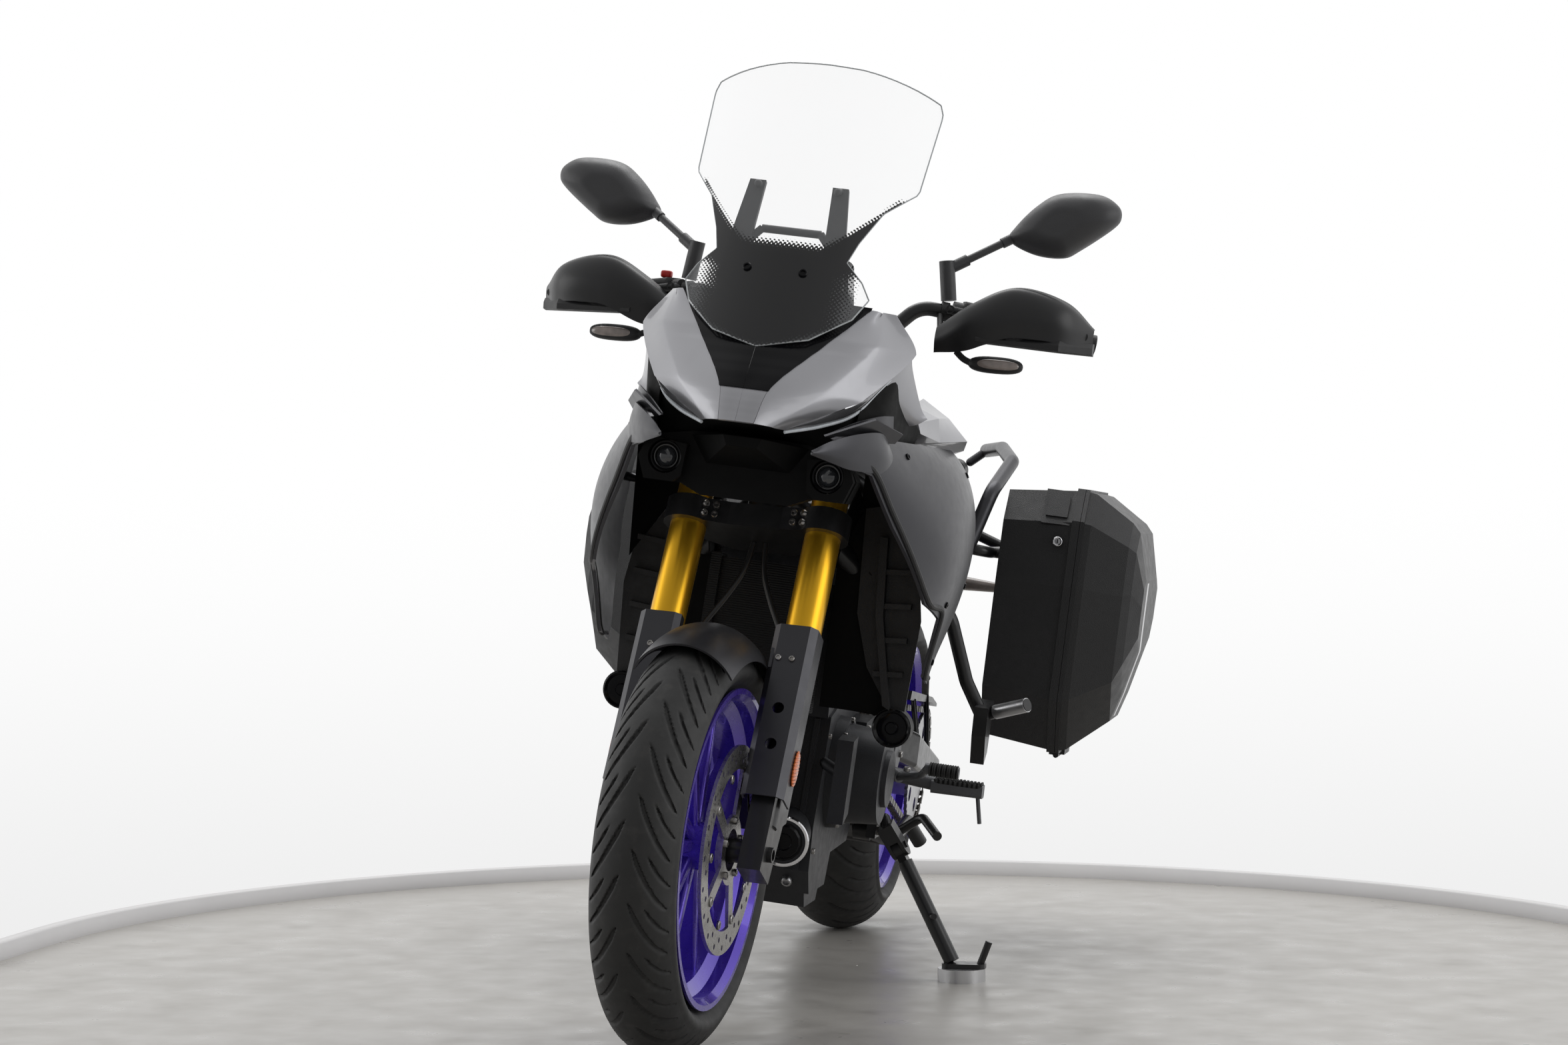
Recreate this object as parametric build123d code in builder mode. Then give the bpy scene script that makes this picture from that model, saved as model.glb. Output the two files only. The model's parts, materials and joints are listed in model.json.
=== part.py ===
"""Sport touring motorcycle, leaning on its side stand, with hard side cases.

Every piece is drawn on the upright motorcycle, in millimetres: +X is the rider's left, +Y points
to the rear and +Z up, with the front axle over Y = 0 and the floor at Z = 0. What steers is then
turned about the steering axis, and the whole machine is leaned onto its side stand and moved so
that the middle of its box stands over the origin.
"""

import os
from math import acos, atan, atan2, cos, degrees, radians, sin, sqrt, tan

from build123d import *

# ---- Driving dimensions -------------------------------------------------------------------------
WHEELBASE = 1495.0
RAKE = 25.0
FORK_OFFSET = 44.0
LEAN = 7.5
STEER = -4.3

FRONT_TYRE_RADIUS = 300.0
FRONT_TYRE_WIDTH = 120.0
FRONT_CROWN_RADIUS = 62.0
REAR_TYRE_RADIUS = 315.0
REAR_TYRE_WIDTH = 180.0
REAR_CROWN_RADIUS = 93.0
RIM_FLANGE_RADIUS = 228.0
BEAD_RADIUS = 218.0
FRONT_RIM_WIDTH = 100.0
REAR_RIM_WIDTH = 150.0
TYRE_WALL = 9.0

FORK_SPACING = 206.0
FORK_TUBE_RADIUS = 27.0
FORK_SLIDER_RADIUS = 20.5
DISC_RADIUS = 149.0
DISC_THICKNESS = 5.0
FRONT_DISC_X = 63.0
REAR_DISC_RADIUS = 122.5

SWINGARM_PIVOT_Y = 905.0
SWINGARM_PIVOT_Z = 430.0
CHAIN_X = 112.0
CHAIN_WIDTH = 15.0
CHAIN_HEIGHT = 14.0
REAR_SPROCKET_RADIUS = 104.0
FRONT_SPROCKET_RADIUS = 38.0

SEAT_CLEARANCE = 0.3
PANEL_WALL = 3.5
SEAM = 0.5
CASE_SEAM_X = 386.0
CASE_INNER_X = 250.0
CASE_OUTER_X = 509.0
CASE_WALL = 4.0
CASE_TOP_Z = 872.0
CASE_BOTTOM_Z = 404.0

STAND_PIVOT = (184.0, 850.0, 240.0)
PUCK_RADIUS = 39.5
PUCK_HEIGHT = 21.0
CENTRE_PIVOT_Y = 915.0
CENTRE_PIVOT_Z = 255.0
CENTRE_LUG_X = 97.0

# ---- The upright frame, the steering plane and the parked stance ---------------------------------
FRONT_AXLE = Vector(0, 0, FRONT_TYRE_RADIUS)
REAR_AXLE = Vector(0, WHEELBASE, REAR_TYRE_RADIUS)
STEER_UP = Vector(0, sin(radians(RAKE)), cos(radians(RAKE)))
STEER_BACK = Vector(0, cos(radians(RAKE)), -sin(radians(RAKE)))
STEER_POINT = FRONT_AXLE + STEER_BACK * FORK_OFFSET


def fork_plane(height):
    """The plane square to the fork legs, that far up them from the axle: local Y points rearward."""
    return Plane(origin=FRONT_AXLE + STEER_UP * height, x_dir=(1, 0, 0), z_dir=STEER_UP)


def on_fork(x, back, height):
    """A point given across the fork, behind the line of its legs, and up them from the axle."""
    return Vector(x, 0, 0) + FRONT_AXLE + STEER_BACK * back + STEER_UP * height


steer_frame = Plane(origin=STEER_POINT, x_dir=(1, 0, 0), z_dir=STEER_UP).location
TURNED = steer_frame * Rot(0, 0, STEER) * steer_frame.inverse()


def lowest(axle, turn, tyre_radius, crown_radius):
    """Height of a leaning wheel's lowest point, from the circle that its crown is swept along."""
    place = Rot(0, LEAN, 0) * turn
    centre = (place * Pos(axle)).position
    axle_end = (place * Pos(axle + Vector(1, 0, 0))).position
    tilt = (axle_end - centre).Z
    return centre.Z - (tyre_radius - crown_radius) * sqrt(1 - tilt * tilt) - crown_radius


front_low = lowest(FRONT_AXLE, TURNED, FRONT_TYRE_RADIUS, FRONT_CROWN_RADIUS)
rear_low = lowest(REAR_AXLE, Location(), REAR_TYRE_RADIUS, REAR_CROWN_RADIUS)
PITCH = degrees(atan((front_low - rear_low) / WHEELBASE))
LEANED = Rot(PITCH, 0, 0) * Pos(0, 0, -front_low) * Rot(0, LEAN, 0)


def to_upright(x, y, z):
    """The upright machine's point that lies at a given place of the parked one."""
    return (LEANED.inverse() * Pos(x, y, z)).position


# ---- Helpers ------------------------------------------------------------------------------------
def tube(points, radius, bend=0.0, mode=Mode.ADD):
    """Adds a round bar along straight runs, with arcs of the bend radius at their corners."""
    with BuildLine() as path:
        if len(points) > 2:
            FilletPolyline(*points, radius=bend)
        else:
            Line(*points)
    route = path.wire()
    with BuildSketch(Plane(origin=route @ 0, z_dir=route % 0)) as section:
        Circle(radius)
    sweep(sections=section.sketch, path=route, mode=mode)


def rod(start, end, radius, mode=Mode.ADD):
    """Adds a straight round bar between two points."""
    start, end = Vector(*start), Vector(*end)
    with BuildSketch(Plane(origin=start, z_dir=end - start)) as section:
        Circle(radius)
    extrude(to_extrude=section.sketch, amount=(end - start).length, mode=mode)


def stay_to(start, toward, piece, radius):
    """Adds a round stay from a point to the near face of a piece, with a ball end just clear of it."""
    start, toward = Vector(*start), Vector(*toward)
    along = (toward - start).normalized()
    hits = piece.part.find_intersection_points(Axis(start, along))
    ahead = [hit for hit in hits if (hit[0] - start).dot(along) > 0]
    point, normal = min(ahead, key=lambda hit: (hit[0] - start).length)
    facing = normal if normal.dot(along) < 0 else -normal
    ball = point + facing * (radius + SEAT_CLEARANCE)
    rod(start, ball, radius)
    add(Pos(ball) * Sphere(radius, mode=Mode.PRIVATE))


def side_plate(outline, x_from, x_to, mode=Mode.ADD):
    """Adds a plate whose outline is drawn in the side view, as (y, z), between two X planes."""
    with BuildSketch(Plane.YZ.offset(x_from)) as face:
        Polygon(*outline, align=None)
    extrude(to_extrude=face.sketch, amount=x_to - x_from, mode=mode)


def front_plate(outline, y_from, y_to, mode=Mode.ADD):
    """Adds a plate whose outline is drawn in the front view, as (x, z), between two Y planes."""
    with BuildSketch(Plane.XZ.offset(-y_to)) as face:
        Polygon(*outline, align=None)
    extrude(to_extrude=face.sketch, amount=y_to - y_from, mode=mode)


def band(level, outer, inner, curved):
    """A closed face at one height between an outer and an inner line seen from above."""
    line = Spline if curved else Polyline
    with BuildSketch(Plane.XY.offset(level)) as face:
        with BuildLine():
            line(*outer)
            Line(outer[-1], inner[-1])
            line(*inner)
            Line(inner[0], outer[0])
        make_face()
    return face.sketch


def skin(sections, wall, curved=True, mode=Mode.ADD):
    """Adds a wall lofted through lines at rising heights, each given as (z, outer points)."""
    faces = []
    for level, outer in sections:
        inner = [(x - (wall if x > 0 else -wall if x < 0 else 0), y + wall) for x, y in outer]
        faces.append(band(level, outer, inner, curved))
    loft(sections=faces, ruled=not curved, mode=mode)


def both_sides(half):
    """A line seen from above, whole, from its left half listed outward from the middle."""
    return [(-x, y) for x, y in reversed(half[1:])] + list(half)


def facet(corners, wall, mode=Mode.ADD):
    """Adds a flat panel through its corners, thickened along the normal of the first three."""
    first, second, third = [Vector(*corner) for corner in corners[:3]]
    across = second - first
    plane = Plane(origin=first, x_dir=across, z_dir=across.cross(third - first))
    flat = [plane.to_local_coords(Vector(*corner)) for corner in corners]
    with BuildSketch(plane) as face:
        Polygon(*[(point.X, point.Y) for point in flat], align=None)
    extrude(to_extrude=face.sketch, amount=wall, mode=mode)


def hose(points, radius):
    """Adds a hose along a route, each bend as wide as its two runs allow."""
    points = [Vector(*point) for point in points]
    radii = []
    for before, corner, after in zip(points, points[1:], points[2:]):
        inward, outward = corner - before, after - corner
        half_turn = radians(inward.get_angle(outward)) / 2
        radii.append(0.45 * min(inward.length, outward.length) / tan(half_turn))
    tube(points, radius, radii)


def rounded_loft(sections, centre=0.0, mode=Mode.ADD):
    """Adds a body lofted to the rear through rounded boxes: (y, width, bottom z, top z, corner)."""
    faces = []
    for y, width, bottom, top, corner in sections:
        with BuildSketch(Plane.XZ.offset(-y)) as face:
            with Locations((centre, (bottom + top) / 2)):
                RectangleRounded(width, top - bottom, corner)
        faces.append(face.sketch)
    loft(sections=faces, ruled=True, mode=mode)


def mirrored(piece):
    """Adds the other side's copy of a finished piece."""
    add(mirror(piece.part, about=Plane.YZ, mode=Mode.PRIVATE))


# ---- Wheels -------------------------------------------------------------------------------------
def wheel_plane(axle):
    """The plane through a wheel's axle line, with local X along the axle and local Y upward."""
    return Plane(origin=axle, x_dir=(1, 0, 0), z_dir=(0, -1, 0))


def axle_axis(axle):
    return Axis(origin=axle, direction=(1, 0, 0))


def tyre(axle, radius, width, crown, rim_width):
    """Adds a tyre: a round crown down to the widest point, then a sidewall in to the bead."""
    half = width / 2
    shoulder = radius - crown + sqrt(crown**2 - (half - 2) ** 2) if crown > half - 2 else radius - crown
    bead = rim_width / 2 - 8
    wide = (shoulder + BEAD_RADIUS) / 2 + 6
    with BuildSketch(wheel_plane(axle)) as section:
        with BuildLine():
            ThreePointArc((-half + 2, shoulder), (0, radius), (half - 2, shoulder))
            ThreePointArc((half - 2, shoulder), (half, wide), (bead + 4, BEAD_RADIUS + 12))
            Line((bead + 4, BEAD_RADIUS + 12), (bead, BEAD_RADIUS + 0.3))
            Line((bead, BEAD_RADIUS + 0.3), (bead - 12, BEAD_RADIUS + 0.3))
            inner = half - TYRE_WALL
            Line((bead - 12, BEAD_RADIUS + 0.3), (inner - 2, wide))
            ThreePointArc((inner - 2, wide), (0, radius - TYRE_WALL - 3), (2 - inner, wide))
            Line((2 - inner, wide), (12 - bead, BEAD_RADIUS + 0.3))
            Line((12 - bead, BEAD_RADIUS + 0.3), (-bead, BEAD_RADIUS + 0.3))
            Line((-bead, BEAD_RADIUS + 0.3), (-bead - 4, BEAD_RADIUS + 12))
            ThreePointArc((-bead - 4, BEAD_RADIUS + 12), (-half, wide), (-half + 2, shoulder))
        make_face()
    revolve(profiles=section.sketch, axis=axle_axis(axle))


RIM_WALL = 5.0
RIM_WELL_RADIUS = 196.0
HUB_RADIUS = 34.0
SPOKE_PAIRS = 5
SPOKE_SPREAD = 15.0


def rim(axle, rim_width, hub_width, bore):
    """Adds a cast wheel: a barrel with flanges and a drop centre, a hub and paired spokes."""
    flange = rim_width / 2 + 6
    seat = rim_width / 2 - 8
    with BuildSketch(wheel_plane(axle)) as barrel:
        Polygon(
            (-flange, RIM_FLANGE_RADIUS),
            (-flange + 4, RIM_FLANGE_RADIUS),
            (-seat - 1, BEAD_RADIUS),
            (-seat + 14, BEAD_RADIUS),
            (-seat + 26, RIM_WELL_RADIUS + RIM_WALL),
            (seat - 26, RIM_WELL_RADIUS + RIM_WALL),
            (seat - 14, BEAD_RADIUS),
            (seat + 1, BEAD_RADIUS),
            (flange - 4, RIM_FLANGE_RADIUS),
            (flange, RIM_FLANGE_RADIUS),
            (flange, BEAD_RADIUS + 2),
            (seat + 4, BEAD_RADIUS - RIM_WALL),
            (seat - 12, BEAD_RADIUS - RIM_WALL),
            (seat - 24, RIM_WELL_RADIUS),
            (24 - seat, RIM_WELL_RADIUS),
            (12 - seat, BEAD_RADIUS - RIM_WALL),
            (-seat - 4, BEAD_RADIUS - RIM_WALL),
            (-flange, BEAD_RADIUS + 2),
            align=None,
        )
    revolve(profiles=barrel.sketch, axis=axle_axis(axle))
    rod(axle - Vector(hub_width / 2, 0, 0), axle + Vector(hub_width / 2, 0, 0), HUB_RADIUS)
    for pair in range(SPOKE_PAIRS):
        for side in (-1, 1):
            spoke(axle, 360 / SPOKE_PAIRS * pair, side)
    rod(
        axle - Vector(hub_width / 2 + 1, 0, 0),
        axle + Vector(hub_width / 2 + 1, 0, 0),
        bore,
        mode=Mode.SUBTRACT,
    )


def spoke(axle, angle, side):
    """Adds one spoke: it leaves the hub beside its twin and spreads away from it to the rim."""
    def outward(turn, radius):
        return axle + Vector(0, -sin(radians(turn)) * radius, cos(radians(turn)) * radius)

    root = outward(angle + side * 14, HUB_RADIUS - 6)
    tip = outward(angle + side * SPOKE_SPREAD, RIM_WELL_RADIUS + 2)
    along = tip - root
    across = Vector(1, 0, 0)
    with BuildSketch(Plane(origin=root, x_dir=across, z_dir=along)) as thick:
        RectangleRounded(34, 20, 6)
    with BuildSketch(Plane(origin=tip, x_dir=across, z_dir=along)) as thin:
        RectangleRounded(24, 15, 5)
    loft(sections=[thick.sketch, thin.sketch])


DISC_HOLES = 20
DISC_HOLE_RADIUS = 4.0


def brake_disc(axle, x_middle, radius, hub_side):
    """Adds a brake disc: a ring on a five-armed carrier that reaches in to the hub face."""
    ring_width = 34.0
    with BuildSketch(Plane.YZ.offset(x_middle - DISC_THICKNESS / 2)) as ring:
        with Locations((axle.Y, axle.Z)):
            Circle(radius)
            Circle(radius - ring_width, mode=Mode.SUBTRACT)
            for drawn_in, start in ((10, 0), (22, 9)):
                with PolarLocations(radius - drawn_in, DISC_HOLES, start_angle=start):
                    Circle(DISC_HOLE_RADIUS, mode=Mode.SUBTRACT)
    extrude(to_extrude=ring.sketch, amount=DISC_THICKNESS)
    with BuildSketch(Plane.YZ.offset(x_middle - DISC_THICKNESS / 2)) as carrier:
        with Locations((axle.Y, axle.Z)):
            Circle(HUB_RADIUS + 16)
            with PolarLocations((radius - ring_width + HUB_RADIUS) / 2 + 3, 5):
                Rectangle(radius - ring_width - HUB_RADIUS + 6, 22)
            Circle(HUB_RADIUS - 4, mode=Mode.SUBTRACT)
    extrude(to_extrude=carrier.sketch, amount=DISC_THICKNESS)
    with BuildSketch(Plane.YZ.offset(hub_side)) as boss:
        with Locations((axle.Y, axle.Z)):
            Circle(HUB_RADIUS + 6)
            Circle(HUB_RADIUS - 4, mode=Mode.SUBTRACT)
    extrude(to_extrude=boss.sketch, amount=x_middle - hub_side)


FRONT_HUB_WIDTH = 2 * (FRONT_DISC_X - DISC_THICKNESS / 2 - 8)
REAR_HUB_WIDTH = 150.0
AXLE_RADIUS = 11.0
FRONT_AXLE_BORE = 8.0
REAR_AXLE_BORE = 7.0
AXLE_BORE = AXLE_RADIUS + 0.3

with BuildPart() as front_tyre:
    tyre(FRONT_AXLE, FRONT_TYRE_RADIUS, FRONT_TYRE_WIDTH, FRONT_CROWN_RADIUS, FRONT_RIM_WIDTH)

with BuildPart() as front_rim:
    rim(FRONT_AXLE, FRONT_RIM_WIDTH, FRONT_HUB_WIDTH, AXLE_BORE)

with BuildPart() as front_discs:
    for side in (-1, 1):
        brake_disc(FRONT_AXLE, side * FRONT_DISC_X, DISC_RADIUS, side * FRONT_HUB_WIDTH / 2)

with BuildPart() as rear_tyre:
    tyre(REAR_AXLE, REAR_TYRE_RADIUS, REAR_TYRE_WIDTH, REAR_CROWN_RADIUS, REAR_RIM_WIDTH)

with BuildPart() as rear_rim:
    rim(REAR_AXLE, REAR_RIM_WIDTH, REAR_HUB_WIDTH, AXLE_BORE)

with BuildPart() as rear_disc:
    brake_disc(REAR_AXLE, -REAR_HUB_WIDTH / 2 - 12, REAR_DISC_RADIUS, -REAR_HUB_WIDTH / 2)

SPROCKET_TEETH = 42
with BuildPart() as rear_sprocket:
    with BuildSketch(Plane.YZ.offset(CHAIN_X - 3)) as teeth:
        with Locations((REAR_AXLE.Y, REAR_AXLE.Z)):
            Circle(REAR_SPROCKET_RADIUS - 5)
            with PolarLocations(REAR_SPROCKET_RADIUS - 4, SPROCKET_TEETH):
                RegularPolygon(5.0, 3)
            with PolarLocations(REAR_SPROCKET_RADIUS - 32, 5):
                Circle(14, mode=Mode.SUBTRACT)
            Circle(AXLE_BORE, mode=Mode.SUBTRACT)
    extrude(to_extrude=teeth.sketch, amount=6)
    carrier_start = Vector(REAR_HUB_WIDTH / 2, 0, 0) + REAR_AXLE
    carrier_end = Vector(CHAIN_X - 3, 0, 0) + REAR_AXLE
    rod(carrier_start, carrier_end, 52)
    rod(carrier_start - Vector(1, 0, 0), carrier_end + Vector(8, 0, 0), AXLE_BORE, mode=Mode.SUBTRACT)

# ---- Front fork and what steers with it ------------------------------------------------------------
LOWER_CLAMP = 492.0
UPPER_CLAMP = 706.0
CLAMP_HEIGHT = 36.0
OUTER_TUBE_BOTTOM = 262.0
FORK_TOP = UPPER_CLAMP + CLAMP_HEIGHT + 8
LEG_X = FORK_SPACING / 2

with BuildPart() as fork_tubes:
    for side in (-1, 1):
        rod(on_fork(side * LEG_X, 0, OUTER_TUBE_BOTTOM), on_fork(side * LEG_X, 0, FORK_TOP), FORK_TUBE_RADIUS)

with BuildPart() as fork_sliders:
    for side in (-1, 1):
        rod(on_fork(side * LEG_X, 0, 40), on_fork(side * LEG_X, 0, OUTER_TUBE_BOTTOM), FORK_SLIDER_RADIUS)
        foot = [on_fork(0, *p) for p in ((-30, -34), (30, -34), (46, 60), (62, 70), (62, 160), (30, 168), (-26, 96))]
        side_plate([(p.Y, p.Z) for p in foot], side * LEG_X - 17, side * LEG_X + 17)
    rod(FRONT_AXLE - Vector(LEG_X + 24, 0, 0), FRONT_AXLE + Vector(LEG_X + 24, 0, 0), AXLE_RADIUS)
    for side in (-1, 1):
        x_face = side * FRONT_HUB_WIDTH / 2
        rod(FRONT_AXLE + Vector(x_face + side * 0.5, 0, 0), FRONT_AXLE + Vector(side * LEG_X, 0, 0), 17)
    axle_reach = Vector(LEG_X + 30, 0, 0)
    rod(FRONT_AXLE - axle_reach, FRONT_AXLE + axle_reach, FRONT_AXLE_BORE, mode=Mode.SUBTRACT)

def clamp(height, leg_gap):
    """Adds a triple clamp: a bridge round the stem with a ring at each leg."""
    with BuildSketch(fork_plane(height)) as outline:
        for side in (-1, 1):
            with Locations((side * LEG_X, 0)):
                Circle(FORK_TUBE_RADIUS + 11)
        with BuildLine():
            Polyline(
                (-LEG_X, -30), (-40, -20), (40, -20), (LEG_X, -30), (LEG_X, 34),
                (46, FORK_OFFSET + 28), (-46, FORK_OFFSET + 28), (-LEG_X, 34), close=True,
            )
        make_face()
        for side in (-1, 1):
            with Locations((side * LEG_X, 0)):
                Circle(FORK_TUBE_RADIUS + leg_gap, mode=Mode.SUBTRACT)
    extrude(to_extrude=outline.sketch, amount=CLAMP_HEIGHT)

STEM_RADIUS = 15.0
with BuildPart() as triple_clamps:
    clamp(LOWER_CLAMP, 0.0)
    clamp(UPPER_CLAMP, 0.0)
    rod(on_fork(0, FORK_OFFSET, LOWER_CLAMP), on_fork(0, FORK_OFFSET, UPPER_CLAMP + CLAMP_HEIGHT + 6), STEM_RADIUS)

BAR_RADIUS = 11.0
RISER_X = 48.0
BAR_HEIGHT = 806.0
BAR_BACK = 52.0
bar_middle = on_fork(0, BAR_BACK, BAR_HEIGHT)
GRIP_END = Vector(405, 505, 1082)
GRIP_START = Vector(262, 455, 1100)

BAR_STRAIGHT = 100.0
GRIP_ALONG = (GRIP_END - GRIP_START).normalized()


def on_bar(side, distance):
    """A point on the bar's straight end, that far outward from where the grip starts."""
    point = GRIP_START + GRIP_ALONG * distance
    return Vector(side * point.X, point.Y, point.Z)


def bar_along(side):
    return Vector(side * GRIP_ALONG.X, GRIP_ALONG.Y, GRIP_ALONG.Z)


GRIP_LENGTH = (GRIP_END - GRIP_START).length

with BuildPart() as handlebar:
    tube(
        [on_bar(-1, GRIP_LENGTH), on_bar(-1, -BAR_STRAIGHT), bar_middle - Vector(70, 0, 0),
         bar_middle + Vector(70, 0, 0), on_bar(1, -BAR_STRAIGHT), on_bar(1, GRIP_LENGTH)],
        BAR_RADIUS, 45,
    )
    for side in (-1, 1):
        rod(
            on_fork(side * RISER_X, BAR_BACK, UPPER_CLAMP + CLAMP_HEIGHT),
            on_fork(side * RISER_X, BAR_BACK, BAR_HEIGHT + 14),
            17,
        )

GRIP_RADIUS = 17.0
GRIP_FLANGE = 17.0

with BuildPart() as hand_grips:
    for side in (-1, 1):
        rod(on_bar(side, GRIP_FLANGE), on_bar(side, GRIP_LENGTH - 0.5), GRIP_RADIUS)
        rod(on_bar(side, GRIP_FLANGE - 2), on_bar(side, GRIP_LENGTH + 2), BAR_RADIUS, mode=Mode.SUBTRACT)

BAR_END_RADIUS = 16.0
POD_START, POD_LENGTH = -34.0, 50.0
PERCH_START, PERCH_WIDTH = -50.0, 14.0


def bar_ring(side, start, width, radius, hole):
    """Adds a ring round the bar's straight end."""
    with BuildSketch(Plane(origin=on_bar(side, start), x_dir=(0, 1, 0), z_dir=bar_along(side))) as ring:
        Circle(radius)
        Circle(hole, mode=Mode.SUBTRACT)
    extrude(to_extrude=ring.sketch, amount=width)


with BuildPart() as switchgear:
    for side in (-1, 1):
        with BuildSketch(Plane(origin=on_bar(side, POD_START), x_dir=(0, 1, 0), z_dir=bar_along(side))) as pod:
            RectangleRounded(50, 44, 10)
            Circle(BAR_RADIUS, mode=Mode.SUBTRACT)
        extrude(to_extrude=pod.sketch, amount=POD_LENGTH)
        bar_ring(side, PERCH_START, PERCH_WIDTH, 19, BAR_RADIUS)
        # the lever's perch reaches forward of the bar and the lever runs out in front of the grip
        perch = on_bar(side, PERCH_START + PERCH_WIDTH / 2)
        rod(perch + Vector(0, -14, 4), perch + Vector(0, -50, 4), 6.5)
        rod(perch + Vector(-side * 4, -46, 4), on_bar(side, GRIP_LENGTH - 6) + Vector(0, -52, -2), 6.5)

MIRROR_FOOT = Vector(208, 441, 1125)
MIRROR_ELBOW = Vector(199, 441, 1185)
MIRROR_NECK = Vector(296, 490, 1236)
MIRROR_MIDDLE = (364, 1258)
MIRROR_OUTLINE = (
    (284, 1228), (292, 1250), (322, 1284), (356, 1305), (414, 1308), (444, 1294), (451, 1276), (440, 1258),
    (394, 1222), (368, 1208), (324, 1210),
)
MIRROR_DEPTHS = ((14, 0.93), (8, 1.0), (-8, 0.96), (-24, 0.78), (-34, 0.46))
with BuildPart() as mirrors:
    rod(MIRROR_FOOT, MIRROR_ELBOW, 12)
    rod(MIRROR_ELBOW - Vector(0, 0, 14), MIRROR_NECK, 6)
    shell_faces = []
    for depth, share in MIRROR_DEPTHS:
        middle_x, middle_z = MIRROR_MIDDLE
        with BuildSketch(Plane.XZ.offset(-(MIRROR_NECK.Y + depth))) as face:
            Polygon(
                *[(middle_x + (x - middle_x) * share, middle_z + (z - middle_z) * share) for x, z in MIRROR_OUTLINE],
                align=None,
            )
        shell_faces.append(face.sketch)
    loft(sections=shell_faces, ruled=True)
    mirror(about=Plane.YZ)

GUARD_WALL = 3.5
# each section of the guard at one x: (y, z) from its top's rear edge over the front to its low edge
GUARD_SECTIONS = (
    (208, ((392, 1082), (380, 1078), (372, 1060), (376, 1042))),
    (258, ((388, 1120), (368, 1114), (354, 1086), (360, 1048))),
    (322, ((392, 1149), (370, 1142), (352, 1106), (356, 1072))),
    (396, ((404, 1134), (386, 1126), (374, 1102), (378, 1072))),
    (436, ((442, 1098), (436, 1095), (433, 1088), (436, 1072))),
)
GUARD_LIP = ((272, 356, 1060, 1067), (396, 374, 1056, 1067), (438, 432, 1058, 1070))
with BuildPart() as hand_guards:
    shell_faces = []
    for x, (top, brow, front, low) in GUARD_SECTIONS:
        inside = [
            (low[0] + GUARD_WALL, low[1]), (front[0] + GUARD_WALL, front[1]),
            (brow[0] + GUARD_WALL, brow[1] - GUARD_WALL), (top[0], top[1] - GUARD_WALL),
        ]
        with BuildSketch(Plane.YZ.offset(x)) as face:
            Polygon(top, brow, front, low, *inside, align=None)
        shell_faces.append(face.sketch)
    loft(sections=shell_faces, ruled=True)
    # the ledge along its low edge
    ledge_faces = []
    for x, y, low, high in GUARD_LIP:
        with BuildSketch(Plane.YZ.offset(x)) as face:
            Polygon((y - 4, low + 2), (y + 10, low), (y + 14, high + 7), (y + 1, high + 7), (y - 5, high), align=None)
        ledge_faces.append(face.sketch)
    loft(sections=ledge_faces, ruled=True)
    # the weight on the bar's end and the arm that carries the guard's tip from it
    rod(on_bar(1, GRIP_LENGTH + 0.3), on_bar(1, GRIP_LENGTH + 24), BAR_END_RADIUS)
    rod(on_bar(1, GRIP_LENGTH + 14), (424, 418, 1086), 7)
    # the inner clamp on the bar and its arm
    bar_ring(1, -68, 12, 15, BAR_RADIUS + 0.2)
    rod(on_bar(1, -62) - Vector(3, 12.5, 7), (214, 376, 1064), 5)
    mirror(about=Plane.YZ)

INDICATOR_LENGTH = 78.0


def indicator(root, side, length):
    """Adds a turn signal: an oval lamp that tapers outward from its root."""
    with BuildSketch(Plane(origin=root, x_dir=(0, 0, 1), z_dir=(side, 0, 0))) as base:
        Ellipse(14, 12)
    with BuildSketch(Plane(origin=Vector(*root) + Vector(side * length, 0, 0), x_dir=(0, 0, 1), z_dir=(side, 0, 0))) as tip:
        Ellipse(9, 7)
    loft(sections=[base.sketch, tip.sketch])


with BuildPart() as front_indicators:
    for side in (-1, 1):
        indicator((side * 262, 384, 1030), side, INDICATOR_LENGTH)
        rod((side * 240, 388, 1044), (side * 263, 384, 1030), 5)
        stay_to((side * 240, 388, 1044), (side * 240, 350, 1048), hand_guards, 5)

FENDER_RADIUS = 316.0
FENDER_HALF_WIDTH = 72.0
FENDER_EDGE_RADIUS = 268.0
FENDER_WALL = 3.0
FENDER_FRONT_ANGLE = 24.0
FENDER_SWEEP = 98.0


def fender_arch(radius, half_width, edge_radius):
    """One curve across the fender, from edge to edge over the tyre."""
    return ThreePointArc((-half_width, edge_radius), (0, radius), (half_width, edge_radius))


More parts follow.
